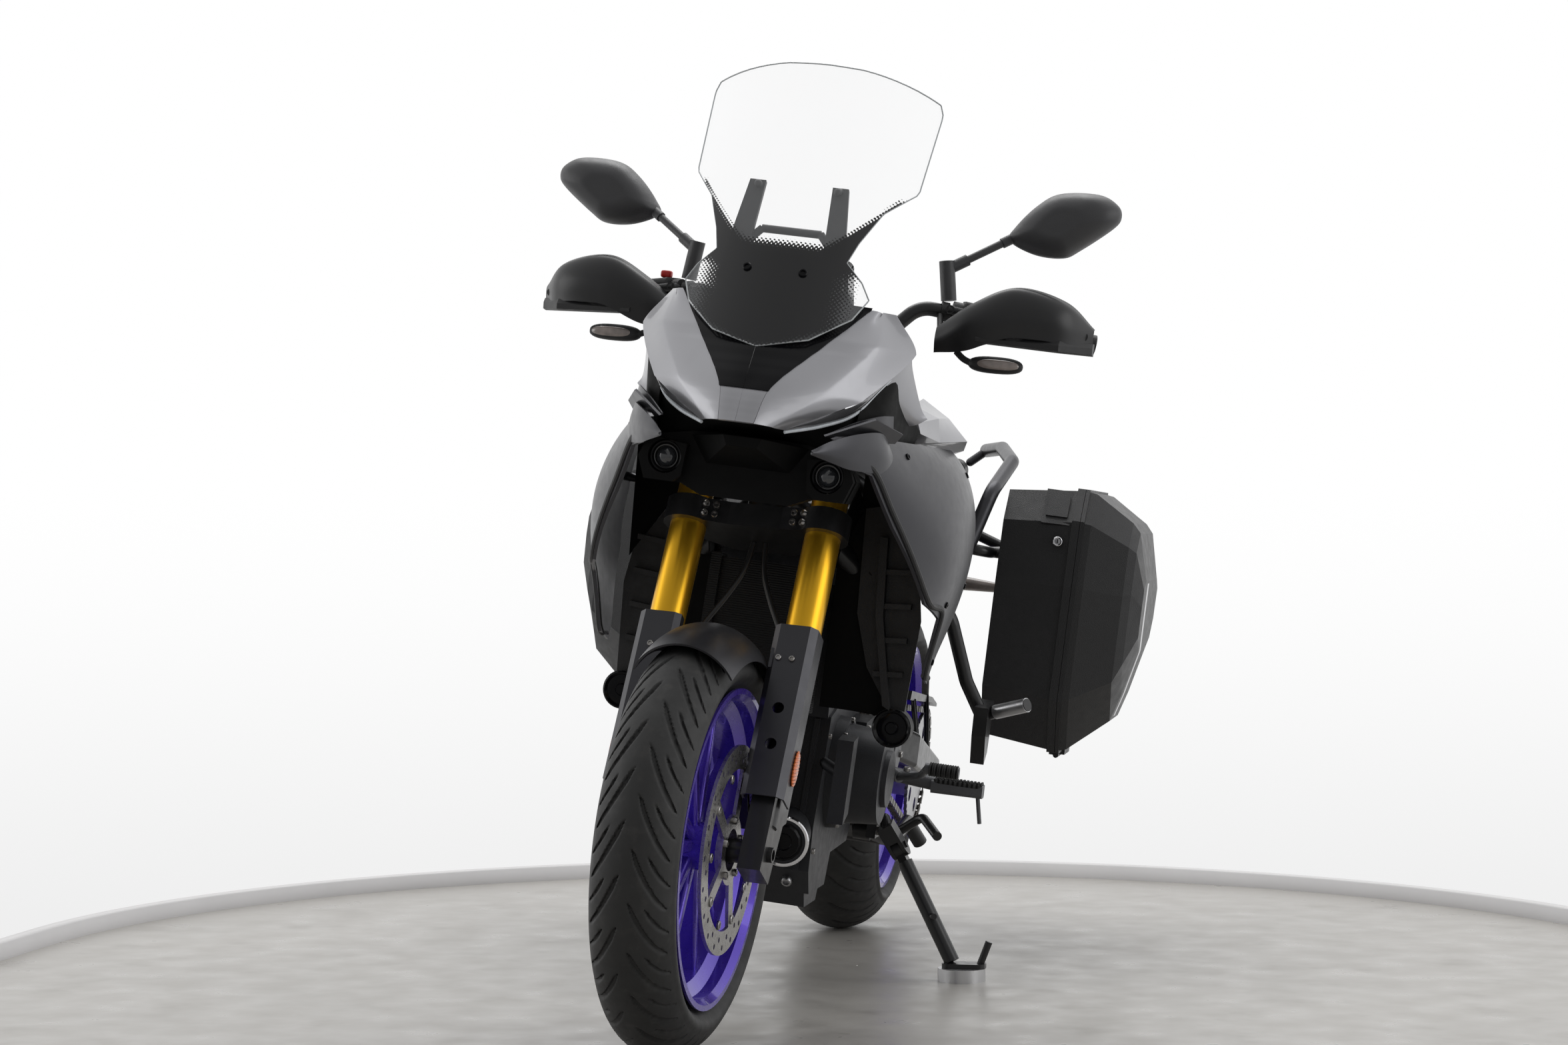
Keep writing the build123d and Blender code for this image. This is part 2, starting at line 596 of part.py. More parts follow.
with BuildPart() as front_fender:
    lean_forward = radians(FENDER_FRONT_ANGLE)
    start = Plane(origin=FRONT_AXLE, x_dir=(1, 0, 0), z_dir=(0, -cos(lean_forward), -sin(lean_forward)))
    with BuildSketch(start) as arch:
        with BuildLine():
            outer = fender_arch(FENDER_RADIUS, FENDER_HALF_WIDTH, FENDER_EDGE_RADIUS)
            inner = fender_arch(FENDER_RADIUS - FENDER_WALL, FENDER_HALF_WIDTH - FENDER_WALL, FENDER_EDGE_RADIUS)
            Line(outer @ 0, inner @ 0)
            Line(outer @ 1, inner @ 1)
        make_face()
    revolve(profiles=arch.sketch, axis=Axis(FRONT_AXLE, (-1, 0, 0)), revolution_arc=FENDER_SWEEP)
    # the guards that run down the front of each fork leg
    with BuildSketch(fork_plane(72)) as guard:
        with Locations((LEG_X, 0)):
            Polygon(
                (-32, -20), (-32, -36), (-23, -43), (21, -43), (31, -32), (31, 6), (28, 6), (28, -31),
                (19.5, -40), (-21.5, -40), (-28.5, -34), (-28.5, -20), align=None,
            )
    extrude(to_extrude=guard.sketch, amount=262)
    for height in (150, 205):
        rod(on_fork(LEG_X - 2, -60, height), on_fork(LEG_X - 2, -30, height), 8.5, mode=Mode.SUBTRACT)
    # the stays that carry the fender on the lower ends of the gold tubes
    with BuildSketch(fork_plane(OUTER_TUBE_BOTTOM + 4)) as stay:
        with Locations((LEG_X - 7, -34)):
            Rectangle(46, 14)
        with Locations((LEG_X, 0)):
            Circle(FORK_TUBE_RADIUS, mode=Mode.SUBTRACT)
    extrude(to_extrude=stay.sketch, amount=30)
    mirror(about=Plane.YZ)

HOSE_RADIUS = 4.5
# each front hose, as (across, behind the legs, up from the axle), from the lower clamp to its caliper
HOSE_ROUTE = (
    (9, 38, LOWER_CLAMP - SEAT_CLEARANCE), (14, 40, 446), (36, 40, 396), (64, 40, 346), (82, 46, 292),
    (84, 62, 238), (83, 84, 188), (80, 100, 132),
)
CALIPER_LOW, CALIPER_HIGH = 35.0, 68.0
CALIPER_INNER, CALIPER_OUTER = 112.0, 168.0
PAD_GAP = 1.5


def around_axle(radius, angle):
    """A point of the fork's side view, as (back, height), at a radius and angle about the axle."""
    return radius * cos(radians(angle)), radius * sin(radians(angle))


def fork_side_plate(outline, x_from, x_to):
    """Adds a plate whose outline is drawn square to the axle, as (back, height) from the axle."""
    with BuildSketch(Plane(origin=FRONT_AXLE + Vector(x_from, 0, 0), x_dir=STEER_BACK, z_dir=(1, 0, 0))) as face:
        Polygon(*outline, align=None)
    extrude(to_extrude=face.sketch, amount=x_to - x_from)


with BuildPart() as front_calipers:
    middle_angle = (CALIPER_LOW + CALIPER_HIGH) / 2
    back_edge = [around_axle(CALIPER_OUTER, CALIPER_HIGH - 2), around_axle(CALIPER_OUTER + 2, middle_angle), around_axle(CALIPER_OUTER, CALIPER_LOW + 2)]
    body = [around_axle(CALIPER_INNER, CALIPER_LOW), around_axle(CALIPER_INNER, CALIPER_HIGH)] + back_edge
    bridge = [around_axle(DISC_RADIUS + 4, CALIPER_LOW + 2), around_axle(DISC_RADIUS + 8, middle_angle), around_axle(DISC_RADIUS + 4, CALIPER_HIGH - 2)] + back_edge
    for side in (-1, 1):
        disc_face = FRONT_DISC_X + DISC_THICKNESS / 2 + PAD_GAP
        disc_back = FRONT_DISC_X - DISC_THICKNESS / 2 - PAD_GAP
        leg_face = LEG_X - 17
        fork_side_plate(body, side * disc_face, side * leg_face)
        fork_side_plate(body, side * (disc_back - 16), side * disc_back)
        fork_side_plate(bridge, side * (disc_back - 16), side * leg_face)
        hose([on_fork(side * x, back, height) for x, back, height in HOSE_ROUTE], HOSE_RADIUS)

# ---- Frame, engine and running gear ---------------------------------------------------------------
HEAD_LOW = on_fork(0, FORK_OFFSET, LOWER_CLAMP + CLAMP_HEIGHT)
HEAD_HIGH = on_fork(0, FORK_OFFSET, UPPER_CLAMP)
HEAD_GAP = 1.0
HEAD_RADIUS = 32.0
FRAME_TUBE = 17.0
RAIL_TUBE = 13.0
PIVOT = Vector(0, SWINGARM_PIVOT_Y, SWINGARM_PIVOT_Z)
PIVOT_PLATE_X = 128.0
TAIL_TUBE_Y = WHEELBASE + 95.0
TAIL_END_Y = WHEELBASE + 295.0

with BuildPart() as main_frame:
    rod(HEAD_LOW + STEER_UP * HEAD_GAP, HEAD_HIGH - STEER_UP * HEAD_GAP, HEAD_RADIUS)
    for side in (-1, 1):
        tube(
            [(side * 20, 345, 880), (side * 128, 470, 815), (side * 136, 720, 640), (side * 136, 868, 540)],
            FRAME_TUBE, 60,
        )
        tube([(side * 20, 325, 800), (side * 127, 420, 700), (side * 128, 470, 590)], FRAME_TUBE, 50)
        rod((side * 130, 500, 790), (side * 128, 470, 600), FRAME_TUBE - 4)
        rod((side * 132, 700, 655), (side * 100, TAIL_TUBE_Y + 10, 838), RAIL_TUBE)
        rod((side * 122, 850, 510), (side * 104, 1330, 785), RAIL_TUBE - 2)
        side_plate(
            ((845, 560), (905, 540), (948, 440), (925, 330), (895, 250), (840, 250), (850, 330), (860, 420)),
            side * PIVOT_PLATE_X, side * (PIVOT_PLATE_X + 16),
        )
    for y, z, half in ((720, 642, 136), (1330, 785, 106), (TAIL_TUBE_Y, 836, 100)):
        rod((-half, y, z), (half, y, z), RAIL_TUBE)
    rod((-PIVOT_PLATE_X - 16, 870, 300), (PIVOT_PLATE_X + 16, 870, 300), RAIL_TUBE)
    rod(PIVOT - Vector(PIVOT_PLATE_X + 16, 0, 0), PIVOT + Vector(PIVOT_PLATE_X + 16, 0, 0), 14)
    # the centre stand's cross shaft and the brackets that hold it below the cross tube
    rod((-CENTRE_LUG_X + 0.3, CENTRE_PIVOT_Y, CENTRE_PIVOT_Z), (CENTRE_LUG_X - 0.3, CENTRE_PIVOT_Y, CENTRE_PIVOT_Z), 12)
    for side in (-1, 1):
        side_plate(
            ((855, 312), (885, 312), (CENTRE_PIVOT_Y + 16, CENTRE_PIVOT_Z), (CENTRE_PIVOT_Y, CENTRE_PIVOT_Z - 16), (880, 262)),
            side * (CENTRE_LUG_X - 12), side * (CENTRE_LUG_X - 0.3),
        )
    rod((-20, 345, 880), (20, 345, 880), FRAME_TUBE)
    rod((-20, 325, 800), (20, 325, 800), FRAME_TUBE)
    rod(HEAD_LOW, HEAD_HIGH, STEM_RADIUS + HEAD_GAP, mode=Mode.SUBTRACT)

CRANK_HALF = 104.0
GENERATOR_MIDDLE = (570.0, 378.0)
CLUTCH_MIDDLE = (650.0, 360.0)


def engine_cover(side, middle, steps):
    """Adds a round cover on the crankcase: discs stepping outward, each (radius, from x, to x)."""
    y, z = middle
    for radius, x_from, x_to in steps:
        with BuildSketch(Plane.YZ.offset(side * x_from)) as disc:
            with Locations((y, z)):
                Circle(radius)
        extrude(to_extrude=disc.sketch, amount=side * (x_to - x_from), taper=6)


with BuildPart() as engine:
    side_plate(
        ((430, 300), (470, 470), (600, 500), (760, 480), (825, 430), (825, 292), (790, 246),
         (634, 242), (612, 192), (470, 192), (440, 230)),
        -CRANK_HALF, CRANK_HALF,
    )
    # cylinders, head and cam cover, tilted forward
    side_plate(((462, 468), (640, 498), (620, 640), (440, 600)), -100, 100)
    side_plate(((436, 598), (622, 636), (614, 676), (428, 640)), -106, 106)
    side_plate(((430, 638), (612, 674), (606, 716), (470, 730), (424, 676)), -100, 100)
    for x in (-78, 0, 78):
        rod((x, 540, 700), (x, 534, 742), 17)
    # ribs down the front and the back of the crankcase
    for x in (-84, -42, 42, 84):
        side_plate(((424, 300), (462, 466), (480, 466), (440, 230), (432, 232)), x - 4, x + 4)
        side_plate(((760, 480), (832, 432), (832, 300), (800, 290), (800, 430)), x - 4, x + 4)
    engine_cover(1, GENERATOR_MIDDLE, ((90, CRANK_HALF - 1, 122), (80, 120, 186), (46, 184, 194)))
    engine_cover(-1, CLUTCH_MIDDLE, ((106, CRANK_HALF - 1, 120), (96, 118, 172), (52, 170, 184)))
    # sprocket cover, water pump, sump, oil filter and drain plug
    side_plate(((650, 455), (728, 462), (738, 430), (732, 385), (700, 335), (655, 345)), CRANK_HALF - 1, 134)
    rod((-CRANK_HALF + 1, 520, 300), (-138, 520, 300), 30)
    side_plate(((470, 195), (608, 195), (592, 168), (490, 168)), -40, 96)
    rod((62, 445, 290), (74, 350, 282), 38)
    rod((40, 560, 172), (40, 560, 160), 11)
    # the coolant reservoir in front of the generator cover, on its boss
    side_plate(((382, 316), (424, 330), (432, 450), (392, 444)), 131, 156)
    rod((CRANK_HALF - 2, 462, 400), (136, 420, 390), 9)

RADIATOR_LOW = (318.0, 490.0)
RADIATOR_HIGH = (350.0, 700.0)
with BuildPart() as radiator:
    core = [
        RADIATOR_LOW, RADIATOR_HIGH,
        (RADIATOR_HIGH[0] + 32, RADIATOR_HIGH[1] - 4), (RADIATOR_LOW[0] + 32, RADIATOR_LOW[1] - 4),
    ]
    side_plate(core, -76, 76)
    for side in (-1, 1):
        tank = [(y + dy, z + dz) for (y, z), dy, dz in zip(core, (-5, -5, 5, 5), (-6, 6, 6, -6))]
        side_plate(tank, side * 76, side * 92)
        stay_to((side * 84, 366, 692), (side * 96, 392, 730), main_frame, 6)

HEADER_RADIUS = 18.0
MUFFLER_X = -128.0
MUFFLER_SECTIONS = (
    (638, 96, 136, 192, 24), (662, 170, 120, 214, 34), (700, 176, 118, 224, 36), (830, 176, 126, 230, 36),
    (864, 160, 138, 224, 34), (883, 110, 152, 212, 24),
)
with BuildPart() as exhaust:
    for side in (-1, 1):
        low_x = -82 + side * 20
        tube(
            [(side * 52, 426.5, 640), (side * 52, 404, 640), (side * 56, 402, 540), (side * 60, 392, 420),
             (low_x, 388, 200), (low_x, 480, 158), (low_x, 650, 165)],
            HEADER_RADIUS, [20, 60, 60, 45, 40],
        )
    rounded_loft(MUFFLER_SECTIONS, centre=MUFFLER_X)
    rod((MUFFLER_X - 48, 868, 192), (MUFFLER_X - 60, 920, 196), 18)
    rod((MUFFLER_X - 51, 890, 193), (MUFFLER_X - 61, 922, 196), 15, mode=Mode.SUBTRACT)

with BuildPart() as swingarm:
    for side in (-1, 1):
        with BuildSketch(Plane(origin=(side * 84, SWINGARM_PIVOT_Y, SWINGARM_PIVOT_Z), x_dir=(1, 0, 0), z_dir=(0, 1, 0))) as root:
            RectangleRounded(28, 66, 8)
        with BuildSketch(Plane(origin=(side * 84, 1010, 416), x_dir=(1, 0, 0), z_dir=(0, 1, 0))) as neck:
            RectangleRounded(28, 66, 8)
        with BuildSketch(Plane(origin=(side * 140, 1190, 376), x_dir=(1, 0, 0), z_dir=(0, 1, 0))) as middle:
            RectangleRounded(26, 62, 8)
        with BuildSketch(Plane(origin=(side * 140, WHEELBASE + 30, REAR_TYRE_RADIUS), x_dir=(1, 0, 0), z_dir=(0, 1, 0))) as end:
            RectangleRounded(22, 50, 8)
        loft(sections=[root.sketch, neck.sketch], ruled=True)
        loft(sections=[neck.sketch, middle.sketch], ruled=True)
        loft(sections=[middle.sketch, end.sketch], ruled=True)
    # the chain guard and the two stays that carry it
    side_plate(
        ((1180, 464), (REAR_AXLE.Y - 15, 444), (REAR_AXLE.Y + 65, 432), (REAR_AXLE.Y + 65, 438),
         (REAR_AXLE.Y - 10, 454), (1190, 480)),
        CHAIN_X - 12, CHAIN_X + 16,
    )
    for y, low in ((1230, 400), (REAR_AXLE.Y - 95, 362)):
        rod((140, y, low), (CHAIN_X + 13, y + 10, 462), 5)
    with BuildSketch(Plane(origin=(0, 1050, 408), z_dir=(1, 0, 0), x_dir=(0, 1, 0))) as brace:
        Rectangle(60, 44)
    extrude(to_extrude=brace.sketch, amount=84, both=True)
    rod(PIVOT - Vector(112, 0, 0), PIVOT + Vector(112, 0, 0), 27)
    rod(PIVOT - Vector(120, 0, 0), PIVOT + Vector(120, 0, 0), 14.3, mode=Mode.SUBTRACT)
    rod(REAR_AXLE - Vector(160, 0, 0), REAR_AXLE + Vector(160, 0, 0), AXLE_RADIUS)
    rod(REAR_AXLE - Vector(161, 0, 0), REAR_AXLE + Vector(161, 0, 0), REAR_AXLE_BORE, mode=Mode.SUBTRACT)

with BuildPart() as front_sprocket:
    rod((CRANK_HALF, 800, 430), (CHAIN_X + 8, 800, 430), 12)
    rod((CHAIN_X - 4, 800, 430), (CHAIN_X + 4, 800, 430), FRONT_SPROCKET_RADIUS - 2)

CHAIN_GAP = 1.5
with BuildPart() as drive_chain:
    wheels = ((800, 430, FRONT_SPROCKET_RADIUS), (REAR_AXLE.Y, REAR_AXLE.Z, REAR_SPROCKET_RADIUS))
    with BuildSketch(Plane.YZ.offset(CHAIN_X - CHAIN_WIDTH / 2)) as inner_loop:
        for y, z, radius in wheels:
            with Locations((y, z)):
                Circle(radius + CHAIN_GAP)
        make_hull()
    with BuildSketch(Plane.YZ.offset(CHAIN_X - CHAIN_WIDTH / 2)) as outer_loop:
        for y, z, radius in wheels:
            with Locations((y, z)):
                Circle(radius + CHAIN_GAP + CHAIN_HEIGHT)
        make_hull()
    extrude(to_extrude=outer_loop.sketch, amount=CHAIN_WIDTH)
    extrude(to_extrude=inner_loop.sketch, amount=CHAIN_WIDTH, mode=Mode.SUBTRACT)

REAR_DISC_X = REAR_HUB_WIDTH / 2 + 12
with BuildPart() as rear_caliper:
    front_y, rear_y = REAR_AXLE.Y - 129, REAR_AXLE.Y - 75
    low_z, high_z = REAR_AXLE.Z - 15, REAR_AXLE.Z + 37
    pad_inner = REAR_DISC_X - DISC_THICKNESS / 2 - PAD_GAP
    pad_outer = REAR_DISC_X + DISC_THICKNESS / 2 + PAD_GAP
    jaw = ((front_y, low_z), (front_y, high_z), (rear_y, high_z - 7), (rear_y, low_z + 5))
    side_plate(jaw, -pad_outer - 14, -pad_outer)
    side_plate(jaw, -pad_inner, -pad_inner + 14)
    side_plate(
        ((front_y - 16, low_z), (front_y - 16, high_z), (front_y + 2, high_z), (front_y + 2, low_z)),
        -pad_outer - 14, -pad_inner + 14,
    )
    side_plate(
        ((front_y - 6, low_z + 18), (front_y - 6, high_z - 4), (rear_y - 20, high_z - 10), (rear_y - 20, low_z + 18)),
        -127.7, -pad_outer - 12,
    )

with BuildPart() as rear_shock:
    rod((0, 770, 560), (0, 1015, 455), 20)
    for step in range(7):
        middle = Vector(0, 800 + step * 25, 560 - 30 * 105 / 245 - step * 25 * 105 / 245)
        rod(middle, middle + Vector(0, 9, -9 * 105 / 245), 34)
    stay_to((0, 774, 558), (0, 720, 642), main_frame, 12)
    stay_to((0, 1015, 455), (0, 1050, 408), swingarm, 12)

# ---- Tank, seats and tail -------------------------------------------------------------------------
TANK_COVER_X = 178.0
# each section of the tank: (y, half top, half shoulder, half base, top z, shoulder z, base z, corner)
TANK_SECTIONS = (
    (426, 62, 112, 100, 960, 922, 868, 20),
    (500, 100, 190, 150, 1006, 944, 844, 26),
    (590, 98, 191, 148, 1004, 944, 834, 26),
    (690, 66, 132, 112, 950, 898, 812, 24),
    (788, 42, 80, 74, 864, 836, 792, 16),
)
with BuildPart() as fuel_tank:
    tank_faces = []
    for y, top, shoulder, base, top_z, shoulder_z, base_z, corner in TANK_SECTIONS:
        with BuildSketch(Plane.XZ.offset(-y)) as face:
            Polygon(
                (-top, top_z), (top, top_z), (shoulder, shoulder_z), (base, base_z), (-base, base_z),
                (-shoulder, shoulder_z), align=None,
            )
            fillet(face.vertices(), corner)
        tank_faces.append(face.sketch)
    loft(sections=tank_faces)
    front_plate(
        ((-TANK_COVER_X, 780), (TANK_COVER_X, 780), (TANK_COVER_X, 1030), (-TANK_COVER_X, 1030)),
        400, 820, mode=Mode.INTERSECT,
    )
    rod((0, 560, 996), (0, 560, 1012), 34)
    for side in (-1, 1):
        stay_to((side * 88, 440, 890), (side * 80, 420, 842), main_frame, 9)

with BuildPart() as tank_covers:
    near = TANK_COVER_X + SEAT_CLEARANCE
    for side in (-1, 1):
        faces = []
        for y, corners in (
            (310, ((near, 918), (208, 922), (202, 938), (near, 944))),
            (400, ((near, 906), (226, 914), (220, 950), (near, 966))),
            (500, ((near, 892), (255, 922), (222, 954), (near, 980))),
            (590, ((near, 886), (240, 908), (216, 944), (near, 962))),
            (670, ((near, 884), (204, 896), (198, 916), (near, 926))),
        ):
            with BuildSketch(Plane.XZ.offset(-y)) as face:
                Polygon(*[(side * x, z) for x, z in corners], align=None)
            faces.append(face.sketch)
        loft(sections=faces, ruled=True)

SEAT_GAP = 0.6
with BuildPart() as rider_seat:
    rounded_loft((
        (790, 160, 794, 848, 24),
        (900, 250, 800.5, 860, 26),
        (1030, 330, 800.5, 866, 28),
        (1120, 320, 843, 908, 28),
    ))

with BuildPart() as passenger_seat:
    rounded_loft((
        (1121, 270, 844.5, 922, 26),
        (1300, 280, 861.5, 928, 26),
        (1500, 190, 883.5, 926, 18),
    ))

TAIL_WALL = 4.0
TAIL_SECTIONS = (
    (1030, 300, 742, 799.5, 20),
    (1120, 298, 756, 842, 20),
    (1300, 288, 772, 860, 20),
    (1500, 264, 796, 882, 20),
    (TAIL_TUBE_Y - 80, 262, 798, 900, 22),
    (TAIL_TUBE_Y + 50, 240, 812, 904, 22),
    (TAIL_END_Y, 130, 858, 892, 14),
)
with BuildPart() as tail_cowl:
    rounded_loft(TAIL_SECTIONS)
    hollow = [
        (y - TAIL_WALL, width - 2 * TAIL_WALL - 2, bottom - 12, top - TAIL_WALL - 1, min(corner, 14))
        for y, width, bottom, top, corner in TAIL_SECTIONS
    ]
    rounded_loft(hollow, mode=Mode.SUBTRACT)
    for side in (-1, 1):
        rod((side * 60, TAIL_TUBE_Y, 836 + RAIL_TUBE + SEAT_CLEARANCE), (side * 60, TAIL_TUBE_Y, 896), 8)

with BuildPart() as tail_light:
    with BuildSketch(Plane.XZ.offset(-TAIL_END_Y - SEAT_CLEARANCE)) as lens:
        with Locations((0, 874)):
            RectangleRounded(118, 30, 10)
    extrude(to_extrude=lens.sketch, amount=-22, taper=12)

with BuildPart() as grab_rails:
    for side in (-1, 1):
        tube(
            [(side * 186, 1150, 706), (side * 222, 1195, 850), (side * 236, 1330, 908),
             (side * 196, 1500, 932), (side * 150, TAIL_TUBE_Y + 50, 926)],
            13, 40,
        )
        stay_to((side * 187, 1152, 712), (side * 116, 1152, 746), main_frame, 7)
        stay_to((side * 152, TAIL_TUBE_Y + 42, 926), (side * 100, TAIL_TUBE_Y + 30, 880), tail_cowl, 8)

LAMP_STALK_Z = 664.0
with BuildPart() as plate_holder:
    side_plate(
        [(TAIL_END_Y + y, z) for y, z in (
            (-140, 800), (-70, 830), (40, 560), (60, 500), (46, 500), (10, 560), (-100, 790))],
        -28, 28,
    )
    tube_face = TAIL_TUBE_Y + RAIL_TUBE + SEAT_CLEARANCE
    side_plate(
        [(tube_face, 822), (tube_face, 850)] + [(TAIL_END_Y + y, z) for y, z in (
            (-130, 850), (-72, 828), (-100, 792), (-138, 802))],
        -28, 28,
    )
    for side in (-1, 1):
        rod((side * 28, TAIL_END_Y - 14, LAMP_STALK_Z - 4), (side * 120, TAIL_END_Y - 14, LAMP_STALK_Z), 7)

with BuildPart() as rear_indicators:
    for side in (-1, 1):
        indicator((side * (120 + SEAT_CLEARANCE), TAIL_END_Y - 14, LAMP_STALK_Z), side, INDICATOR_LENGTH)

# ---- Nose and fairing -----------------------------------------------------------------------------
# the left half of each section of the nose: (z, points outward from the middle, seen from above)
NOSE_HALVES = (
    (901, ((0, -61), (20, -58), (44, -36), (56, -12))),
    (955, ((0, -27), (36, -23), (104, 24), (152, 74))),
    (1033, ((0, 36), (96, 68), (152, 104), (203, 180))),
    (1086, ((0, 72), (138, 131), (147, 150), (158, 184))),
)
NOSE_SECTIONS = [(level, both_sides(half)) for level, half in NOSE_HALVES]
NOSE_V = ((-36, 955), (36, 955), (96, 1033), (140, 1092), (-140, 1092), (-96, 1033))

with BuildPart() as nose_cowl:
    skin(NOSE_SECTIONS, PANEL_WALL, curved=False)
    front_plate(NOSE_V, -100, 200, mode=Mode.SUBTRACT)
    # the cheeks that run down and back from its corners towards the tank
    for side in (-1, 1):
        cheek = [(side * x, y, z) for x, y, z in (
            (199.5, 178, 1030), (173, 123.5, 990), (196, 250, 930), (222, 262, 944))]
        facet(cheek, -side * PANEL_WALL)

with BuildPart() as nose_panel:
    skin(NOSE_SECTIONS, PANEL_WALL, curved=False)
    front_plate(
        ((SEAM - 36, 955 + SEAM), (36 - SEAM, 955 + SEAM), (96 - SEAM, 1033), (140 - SEAM, 1092),
         (SEAM - 140, 1092), (SEAM - 96, 1033)),
        -100, 200, mode=Mode.INTERSECT,
    )

LAMP_X, LAMP_Y, LAMP_Z = 119.0, 76.0, 841.0
LAMP_RADIUS = 24.0
with BuildPart() as lamp_panel:
    front_plate(
        ((-64, 792), (64, 792), (96, 806), (148, 806), (160, 838), (142, 872), (96, 880), (40, 892),
         (-40, 892), (-96, 880), (-142, 872), (-160, 838), (-148, 806), (-96, 806)),
        70, 112,
    )
    # the beak under the cowl, and the shades round the lamps
    beak_faces = []
    for y, outline in (
        (4, ((-22, 868), (22, 868), (28, 882), (-28, 882))),
        (72, ((-62, 838), (62, 838), (88, 876), (-88, 876))),
    ):
        with BuildSketch(Plane.XZ.offset(-y)) as face:
            Polygon(*outline, align=None)
        beak_faces.append(face.sketch)
    loft(sections=beak_faces, ruled=True)
    for side in (-1, 1):
        shade = [(side * x, z) for x, z in ((88, 862), (92, 816), (104, 806), (146, 806), (158, 838), (146, 868))]
        front_plate(shade, 52, 70)
        rod((side * LAMP_X, 40, LAMP_Z), (side * LAMP_X, LAMP_Y + 50, LAMP_Z), LAMP_RADIUS + 0.5, mode=Mode.SUBTRACT)

with BuildPart() as headlamps:
    for side in (-1, 1):
        rod((side * LAMP_X, LAMP_Y - 12, LAMP_Z), (side * LAMP_X, LAMP_Y + 34, LAMP_Z), LAMP_RADIUS)
        with BuildSketch(Plane(origin=(side * 38, -14, 888.2), x_dir=(0, 0, 1), z_dir=(side * 140, 116, 72))) as strip:
            Ellipse(8, 3)
        extrude(to_extrude=strip.sketch, amount=182)

FAIRING_SECTIONS = (
    (545, ((246, 330), (249, 350), (252, 380), (254, 420), (250, 520))),
    (673, ((240, 220), (256, 262), (270, 312), (279, 390), (270, 545))),
    (783, ((196, 130), (230, 186), (262, 258), (284, 350), (280, 540))),
    (865, ((150, 40), (190, 116), (222, 210), (256, 340), (262, 520))),
    (906, ((124, -40), (162, 66), (190, 170), (220, 330), (236, 500))),
)
FAIRING_OUTLINE = (
    (-44, 880), (0, 899), (60, 905), (470, 905), (520, 860), (536, 780), (510, 690), (440, 600),
    (405, 546), (352, 560), (330, 650), (258, 672), (150, 780), (90, 850), (0, 868),
)
with BuildPart() as fairing_left:
    skin(FAIRING_SECTIONS, PANEL_WALL)
    side_plate(FAIRING_OUTLINE, 0, 400, mode=Mode.INTERSECT)
    stay_to((279, 520, 800), (136, 520, 780), main_frame, 7)
    # the fin that stands up along its leading top edge
    facet(((120, -10, 897), (178, 64, 930), (206, 150, 915), (196, 150, 900), (140, 40, 896)), PANEL_WALL)

with BuildPart() as fairing_right:
    mirrored(fairing_left)

DUCT_Y = 392.0
with BuildPart() as front_ducts:
    for side in (-1, 1):
        outline = (
            (128, 800), (152, 806), (226, 690), (234, 640), (226, 484), (212, 484), (160, 560), (135, 640),
        )
        front_plate([(side * x, z) for x, z in outline], DUCT_Y, DUCT_Y + 4)
        # the rail down its middle and the fins that lead from it to the fairing
        front_plate(
            [(side * x, z) for x, z in ((158, 760), (170, 760), (178, 640), (206, 500), (194, 506), (166, 640))],
            DUCT_Y - 18, DUCT_Y,
        )
        for z in (548, 600, 652, 704):
            front_plate([(side * x, h) for x, h in ((172, z), (218, z + 4), (218, z + 12), (172, z + 8))], DUCT_Y - 14, DUCT_Y)
        stay_to((side * 150, DUCT_Y + 2, 704), (side * 127, 424, 692), main_frame, 5)
        # the horn at its foot
        rod((side * 212, DUCT_Y - 14, 474), (side * 212, DUCT_Y + 18, 474), 30)

with BuildPart() as windscreen:
    slope = atan2(327 - 125, 1438 - 1100)
    screen_up = Vector(0, sin(slope), cos(slope))
    screen = Plane(origin=(0, 10, 1008), x_dir=(1, 0, 0), z_dir=screen_up)
    with BuildSketch(screen) as section:
        with BuildLine():
            outer = ThreePointArc((-190, 95), (0, 0), (190, 95))
            inner = ThreePointArc((-188, 98.5), (0, 4), (188, 98.5))
            Line(outer @ 0, inner @ 0)
            Line(outer @ 1, inner @ 1)
        make_face()
    extrude(to_extrude=section.sketch, amount=520)
    front_plate(
        ((0, 1012), (70, 1030), (120, 1068), (136, 1100), (122, 1124), (96, 1150), (106, 1182), (129, 1232),
         (168, 1271), (176, 1400), (160, 1446), (0, 1452), (-160, 1446), (-176, 1400), (-168, 1271),
         (-129, 1232), (-106, 1182), (-96, 1150), (-122, 1124), (-136, 1100), (-120, 1068), (-70, 1030)),
        -200, 600, mode=Mode.INTERSECT,
    )

